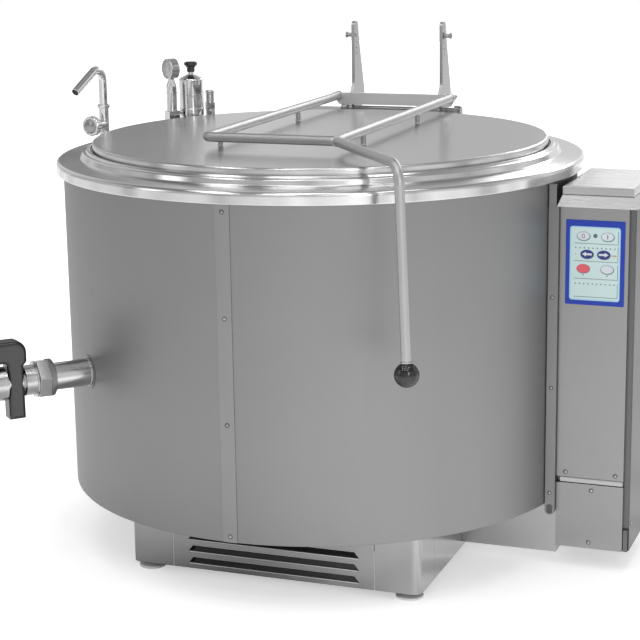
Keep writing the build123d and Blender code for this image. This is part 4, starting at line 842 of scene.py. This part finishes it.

# folded lip under the upper panel and the lower panel's top edge, toned lighter
# than the panels as a painted highlight, and the channel's upper end below the rim
panel_lip_highlight_sheet = ground_steel("stainless_lip_ground_level_painted_highlight", "#B4B4B4", sideways, rough=0.36,
                         pitch_mm=2.0, cloud=0.08)
panel_left, panel_right = 600.5, 739.0
channel_left, channel_right = 570.2, 586.6
folded_strip("upper_panel_lip", "kettle", panel_lip_highlight_sheet,
             [(-129.0, 208.6), (-130.8, 208.4), (-131.5, 207.2), (-131.7, 205.0), (-131.4, 199.4),
              (-130.7, 198.0), (-129.4, 197.4), (-128.9, 197.6)], panel_left, panel_right)
folded_strip("lower_panel_edge", "kettle", panel_lip_highlight_sheet,
             [(-129.0, 195.2), (-130.0, 195.6), (-130.7, 195.2), (-130.7, 194.2), (-129.0, 194.0)],
             panel_left, panel_right)
folded_strip("channel_upper_end", "kettle", channel_sheet,
             [(-139.0, 801), (-142.2, 801), (-143.0, 802), (-143.0, 857.5), (-142.2, 858.5),
              (-139.0, 858.5)], channel_left, channel_right)


# Screws: stainless pan heads with a sawn slot, each in a dark ring that is a
# painted shadow, on the cladding seams, the hinge housing's side, the channel,
# and the column's front panels and side cover.
screw_steel = cast_metal("stainless_screw_head", "#C4C4C4", "#969696", 0.26, 1.2, 0.12)


def pan_head(bm, place, radius, height, slot=0.55):
    """Two domed halves of a slotted head, with the slot's floor between them."""
    rows = [(slot / radius + 0.001, 1.0), (0.45, 0.97), (0.75, 0.86), (0.93, 0.62), (1.0, 0.3),
            (1.0, -0.15)]
    for side in (1, -1):
        rings = []
        for share, rise in rows:
            r = max(radius * share, slot * 1.02)
            start = asin(min(1.0, slot / r))
            rings.append([bm.verts.new(place @ Vector((r * cos(a), side * r * sin(a),
                                                       height * rise)))
                          for a in (start + (pi - 2 * start) * k / 14 for k in range(15))])
        for here, there in zip(rings, rings[1:]):
            for k in range(14):
                bm.faces.new((here[k], here[k + 1], there[k + 1], there[k]))
        bm.faces.new(rings[0])
        wall = [ring[0] for ring in rings[::-1]] + [ring[-1] for ring in rings]
        bm.faces.new(wall)
    floor_level = height * 0.35
    reach = sqrt(radius ** 2 - slot ** 2)
    bottom = [bm.verts.new(place @ Vector((x, y, floor_level))) for x, y in
              ((-reach, -slot), (reach, -slot), (reach, slot), (-reach, slot))]
    bm.faces.new(bottom)


strip_radius, panel_face, channel_face = 586.5, -130, -143
side_face, housing_side = 754.5, 165
front_bearing = -90 + degrees(6 / 585)
frontward = Vector((0, -1, 0))
screws = [(facing(bearing) * strip_radius + Vector((0, 0, z)), facing(bearing))
          for bearing, heights in ((front_bearing, (158, 400, 625, 845)), (90, (158, 400, 620)))
          for z in heights]
screws += [(Vector((x, panel_face, z)), frontward)
           for x, z in ((612, 220), (722, 220), (670, 182), (666, 62))]
screws.append((Vector((side_face, -108, 110)), Vector(sideways)))
screws += [(Vector((housing_side, y, z)), Vector(sideways)) for y in (630, 675) for z in (655, 850)]
rivets = [(Vector((580, channel_face, z)), frontward) for z in (172, 411, 612)]
heads = [(*screw, 3.6, 1.8) for screw in screws] + [(*rivet, 3.0, 1.2) for rivet in rivets]
bm = bmesh.new()
for spot, out, radius, height in heads:
    pan_head(bm, seat(spot, out, random.uniform(0, pi)), radius, height)
screw_heads = made_piece("pan_head_screws", "kettle", screw_steel, bm, 35)
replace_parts(screw_heads, "screws")
# dark rings round the screw and rivet heads: a painted shadow round each head
shadow_ring_steel = cast_metal("screw_ring_painted_shadow", "#5A5A5A", "#4A4A4A", 0.4, 1.0, 0.1)
shadow_ring_section = [(-0.6, -0.1), (1.5, -0.1), (1.5, 0.25), (1.2, 0.42), (-0.6, 0.42), (-0.6, -0.1)]
bm = bmesh.new()
for spot, out, radius, height in heads:
    lathe(bm, seat(spot, out), [(radius + past, rise) for past, rise in shadow_ring_section], steps=28)
made_piece("screw_shadow_rings", "kettle", shadow_ring_steel, bm, 35)


# Keypad: a polyester film printed from behind in blue and pale green, with
# six keys. The film has a fine pebbled face and a slight gloss.


def printed_film(name, light, dark, rough=0.3):
    """Polyester keypad film: a fine pebbled face printed from behind."""
    material, tree, place = blank(name)
    pebble = add(tree, "TexNoise", {"Vector": place, "Scale": 900.0, "Detail": 2.0})
    tone = add(tree, "ValToRGB", {"Fac": pebble}, [(0.3, dark), (0.7, light)])
    surface(tree, tone, pebble, 0.15, 0.0002, IOR=1.5, Roughness=rough)
    return material


film = {colour: printed_film("keypad_film_" + colour, light, dark) for colour, light, dark in (
    ("blue", "#003CC2", "#0034AE"), ("light_blue", "#C4F0FF", "#B8E6FA"),
    ("pale_green", "#E6FCFB", "#DCF4F5"), ("shade", "#7F9C9E", "#748F92"),
    ("dot", "#5E7C82", "#547077"), ("pale", "#F4F9FF", "#E8F0FA"), ("navy", "#22368F", "#1A2C7C"),
    ("red", "#FF6E7C", "#F66070"), ("violet_mark", "#6F6597", "#63598B"),
    ("white", "#F2F5FB", "#E9EDF6"), ("amber", "#D9A066", "#CC9259"))}
dress(film["blue"], "keypad_overlay")
dress(film["pale"], "key_off", "key_on", "key_pale")
dress(film["navy"], "key_down", "key_up")
dress(film["red"], "key_red")

keypad_left, keypad_top = 605.0, 782.0
keypad_width, keypad_tall = 127.0, 184.0
film_face = -131.2
key_face = -131.5


def film_patch(name, body, material, outlines, face, thick=0.06):
    """Printed layer: outlines in mm from the keypad's upper left corner, holes after the first."""
    bm = bmesh.new()
    front, back = [], []
    for outline in outlines:
        front.append([bm.verts.new(at(keypad_left + u, face, keypad_top - v)) for u, v in outline])
        back.append([bm.verts.new(at(keypad_left + u, face + thick, keypad_top - v))
                     for u, v in outline])
    front_list = [v for loop in front for v in loop]
    back_list = [v for loop in back for v in loop]
    for a, b, c in tessellate_polygon([[v.co for v in loop] for loop in front]):
        bm.faces.new((front_list[a], front_list[b], front_list[c]))
        bm.faces.new((back_list[c], back_list[b], back_list[a]))
    for loop, behind in zip(front, back):
        bridge(bm, loop, behind)
    return made_piece(name, body, material, bm, 20)


def oval(u, v, half_u, half_v, steps=40):
    """Outline of an oval."""
    return [(u + half_u * cos(2 * pi * k / steps),
             v + half_v * sin(2 * pi * k / steps)) for k in range(steps)]


def rounded_box(u0, v0, u1, v1, radius, steps=6):
    """Outline of a box with rounded corners."""
    corners = [(u1 - radius, v1 - radius, 0), (u0 + radius, v1 - radius, 90),
               (u0 + radius, v0 + radius, 180), (u1 - radius, v0 + radius, 270)]
    return [(u + radius * cos(radians(start + 90 * k / steps)),
             v + radius * sin(radians(start + 90 * k / steps)))
            for u, v, start in corners for k in range(steps + 1)]


# the lead channel's lower mouth is a flat dark patch, a painted shadow
mouth_shadow_patch = cast_metal("stainless_channel_mouth_painted_shadow", "#626262", "#545454", 0.42, 1.6, 0.1)
film_patch("channel_mouth", "kettle", mouth_shadow_patch,
           [rounded_box(-31.7, 636.0, -18.3, 658.2, 6)], channel_face - 0.1, 0.1)

# printed layers, each a little nearer than the one below it
glow_face, ground_face, shade_face, mark_face = (film_face - up for up in (0.08, 0.12, 0.16, 0.18))


def on_keypad(across, down):
    """Place in mm from shares of the keypad's width and height."""
    return across * keypad_width, down * keypad_tall


key_middle = {"key_off": on_keypad(0.298, 0.187), "key_on": on_keypad(0.707, 0.187),
              "key_down": on_keypad(0.362, 0.399), "key_up": on_keypad(0.645, 0.399),
              "key_red": on_keypad(0.30, 0.570), "key_pale": on_keypad(0.707, 0.570)}
opening_half = (14.0, 9.6)
key_openings = [oval(*middle, *opening_half) for middle in key_middle.values()]
film_patch("keypad_glow", "kettle", film["light_blue"],
           [rounded_box(8.9, 13.8, 117.5, 173.9, 6)] + key_openings, glow_face)
film_patch("keypad_ground", "kettle", film["pale_green"],
           [rounded_box(12.0, 17.0, 114.4, 170.7, 4)] + key_openings, ground_face)
field_rows = [(0.108, 0.27), (0.29, 0.478), (0.50, 0.685), (0.72, 0.90)]
for number, (top, bottom) in enumerate(field_rows, 1):
    u0, v0, u1, v1 = 16.5, top * keypad_tall, 111.8, bottom * keypad_tall
    film_patch("keypad_field_shade_%d" % number, "kettle", film["shade"],
               [[(u0 + 1.5, v1), (u1, v1), (u1, v0 + 1.5), (u1 + 1.3, v0 + 2.6),
                 (u1 + 1.3, v1 + 1.3), (u0 + 2.6, v1 + 1.3)]], shade_face)
for number, (u, v) in enumerate(key_middle.values(), 1):
    film_patch("key_shade_%d" % number, "kettle", film["shade"],
               [oval(u + 0.5, v + 0.6, 14.9, 10.4), oval(u, v, *opening_half)], shade_face)
dots = [(0.17 + 0.66 * k / 9, row) for row in (0.325, 0.747) for k in range(10)]
dots += [(0.30, 0.645), (0.707, 0.645)]
for number, spot in enumerate(dots, 1):
    film_patch("keypad_dot_%d" % number, "kettle", film["dot"],
               [oval(*on_keypad(*spot), 1.5, 1.5, 16)], mark_face)
film_patch("keypad_lamp", "kettle", film["dot"], [oval(63.5, 33.1, 4.6, 4.6)], mark_face)
heat_marks = [(0.17, 0.40, 1.0), (0.79, 0.406, 1.6), (0.82, 0.406, 1.6), (0.85, 0.406, 1.6)]
for number, (across, down, wide) in enumerate(heat_marks, 1):
    film_patch("keypad_heat_mark_%d" % number, "kettle", film["amber"],
               [oval(*on_keypad(across, down), wide, 1.9, 12)], mark_face)

print_face, outline_face = key_face - 0.05, key_face - 0.04
u, v = key_middle["key_off"]
film_patch("key_off_mark", "key_off_cap", film["violet_mark"],
           [oval(u, v, 3.6, 4.9), oval(u, v, 2.3, 3.6)], print_face)
u, v = key_middle["key_on"]
film_patch("key_on_mark", "key_on_cap", film["violet_mark"],
           [rounded_box(u - 1.0, v - 4.9, u + 1.0, v + 4.9, 0.6)], print_face)
arrow = [(-10.5, -2.2), (2.0, -2.2), (2.0, -5.2), (10.8, 0), (2.0, 5.2), (2.0, 2.2), (-10.5, 2.2)]
for name, way in (("key_down", -1), ("key_up", 1)):
    u, v = key_middle[name]
    film_patch(name + "_arrow", name + "_cap", film["white"],
               [[(u + way * x, v + y) for x, y in arrow]], print_face)
for name in ("key_off", "key_on", "key_pale"):
    film_patch(name + "_outline", name + "_cap", film["shade"],
               [oval(*key_middle[name], 13.3, 8.9), oval(*key_middle[name], 12.8, 8.4)],
               outline_face)

# the control gear behind the keypad has moulded grey cases
dress(printed_film("moulded_control_gear", "#6E7073", "#5E6063", rough=0.5), "control_gear")
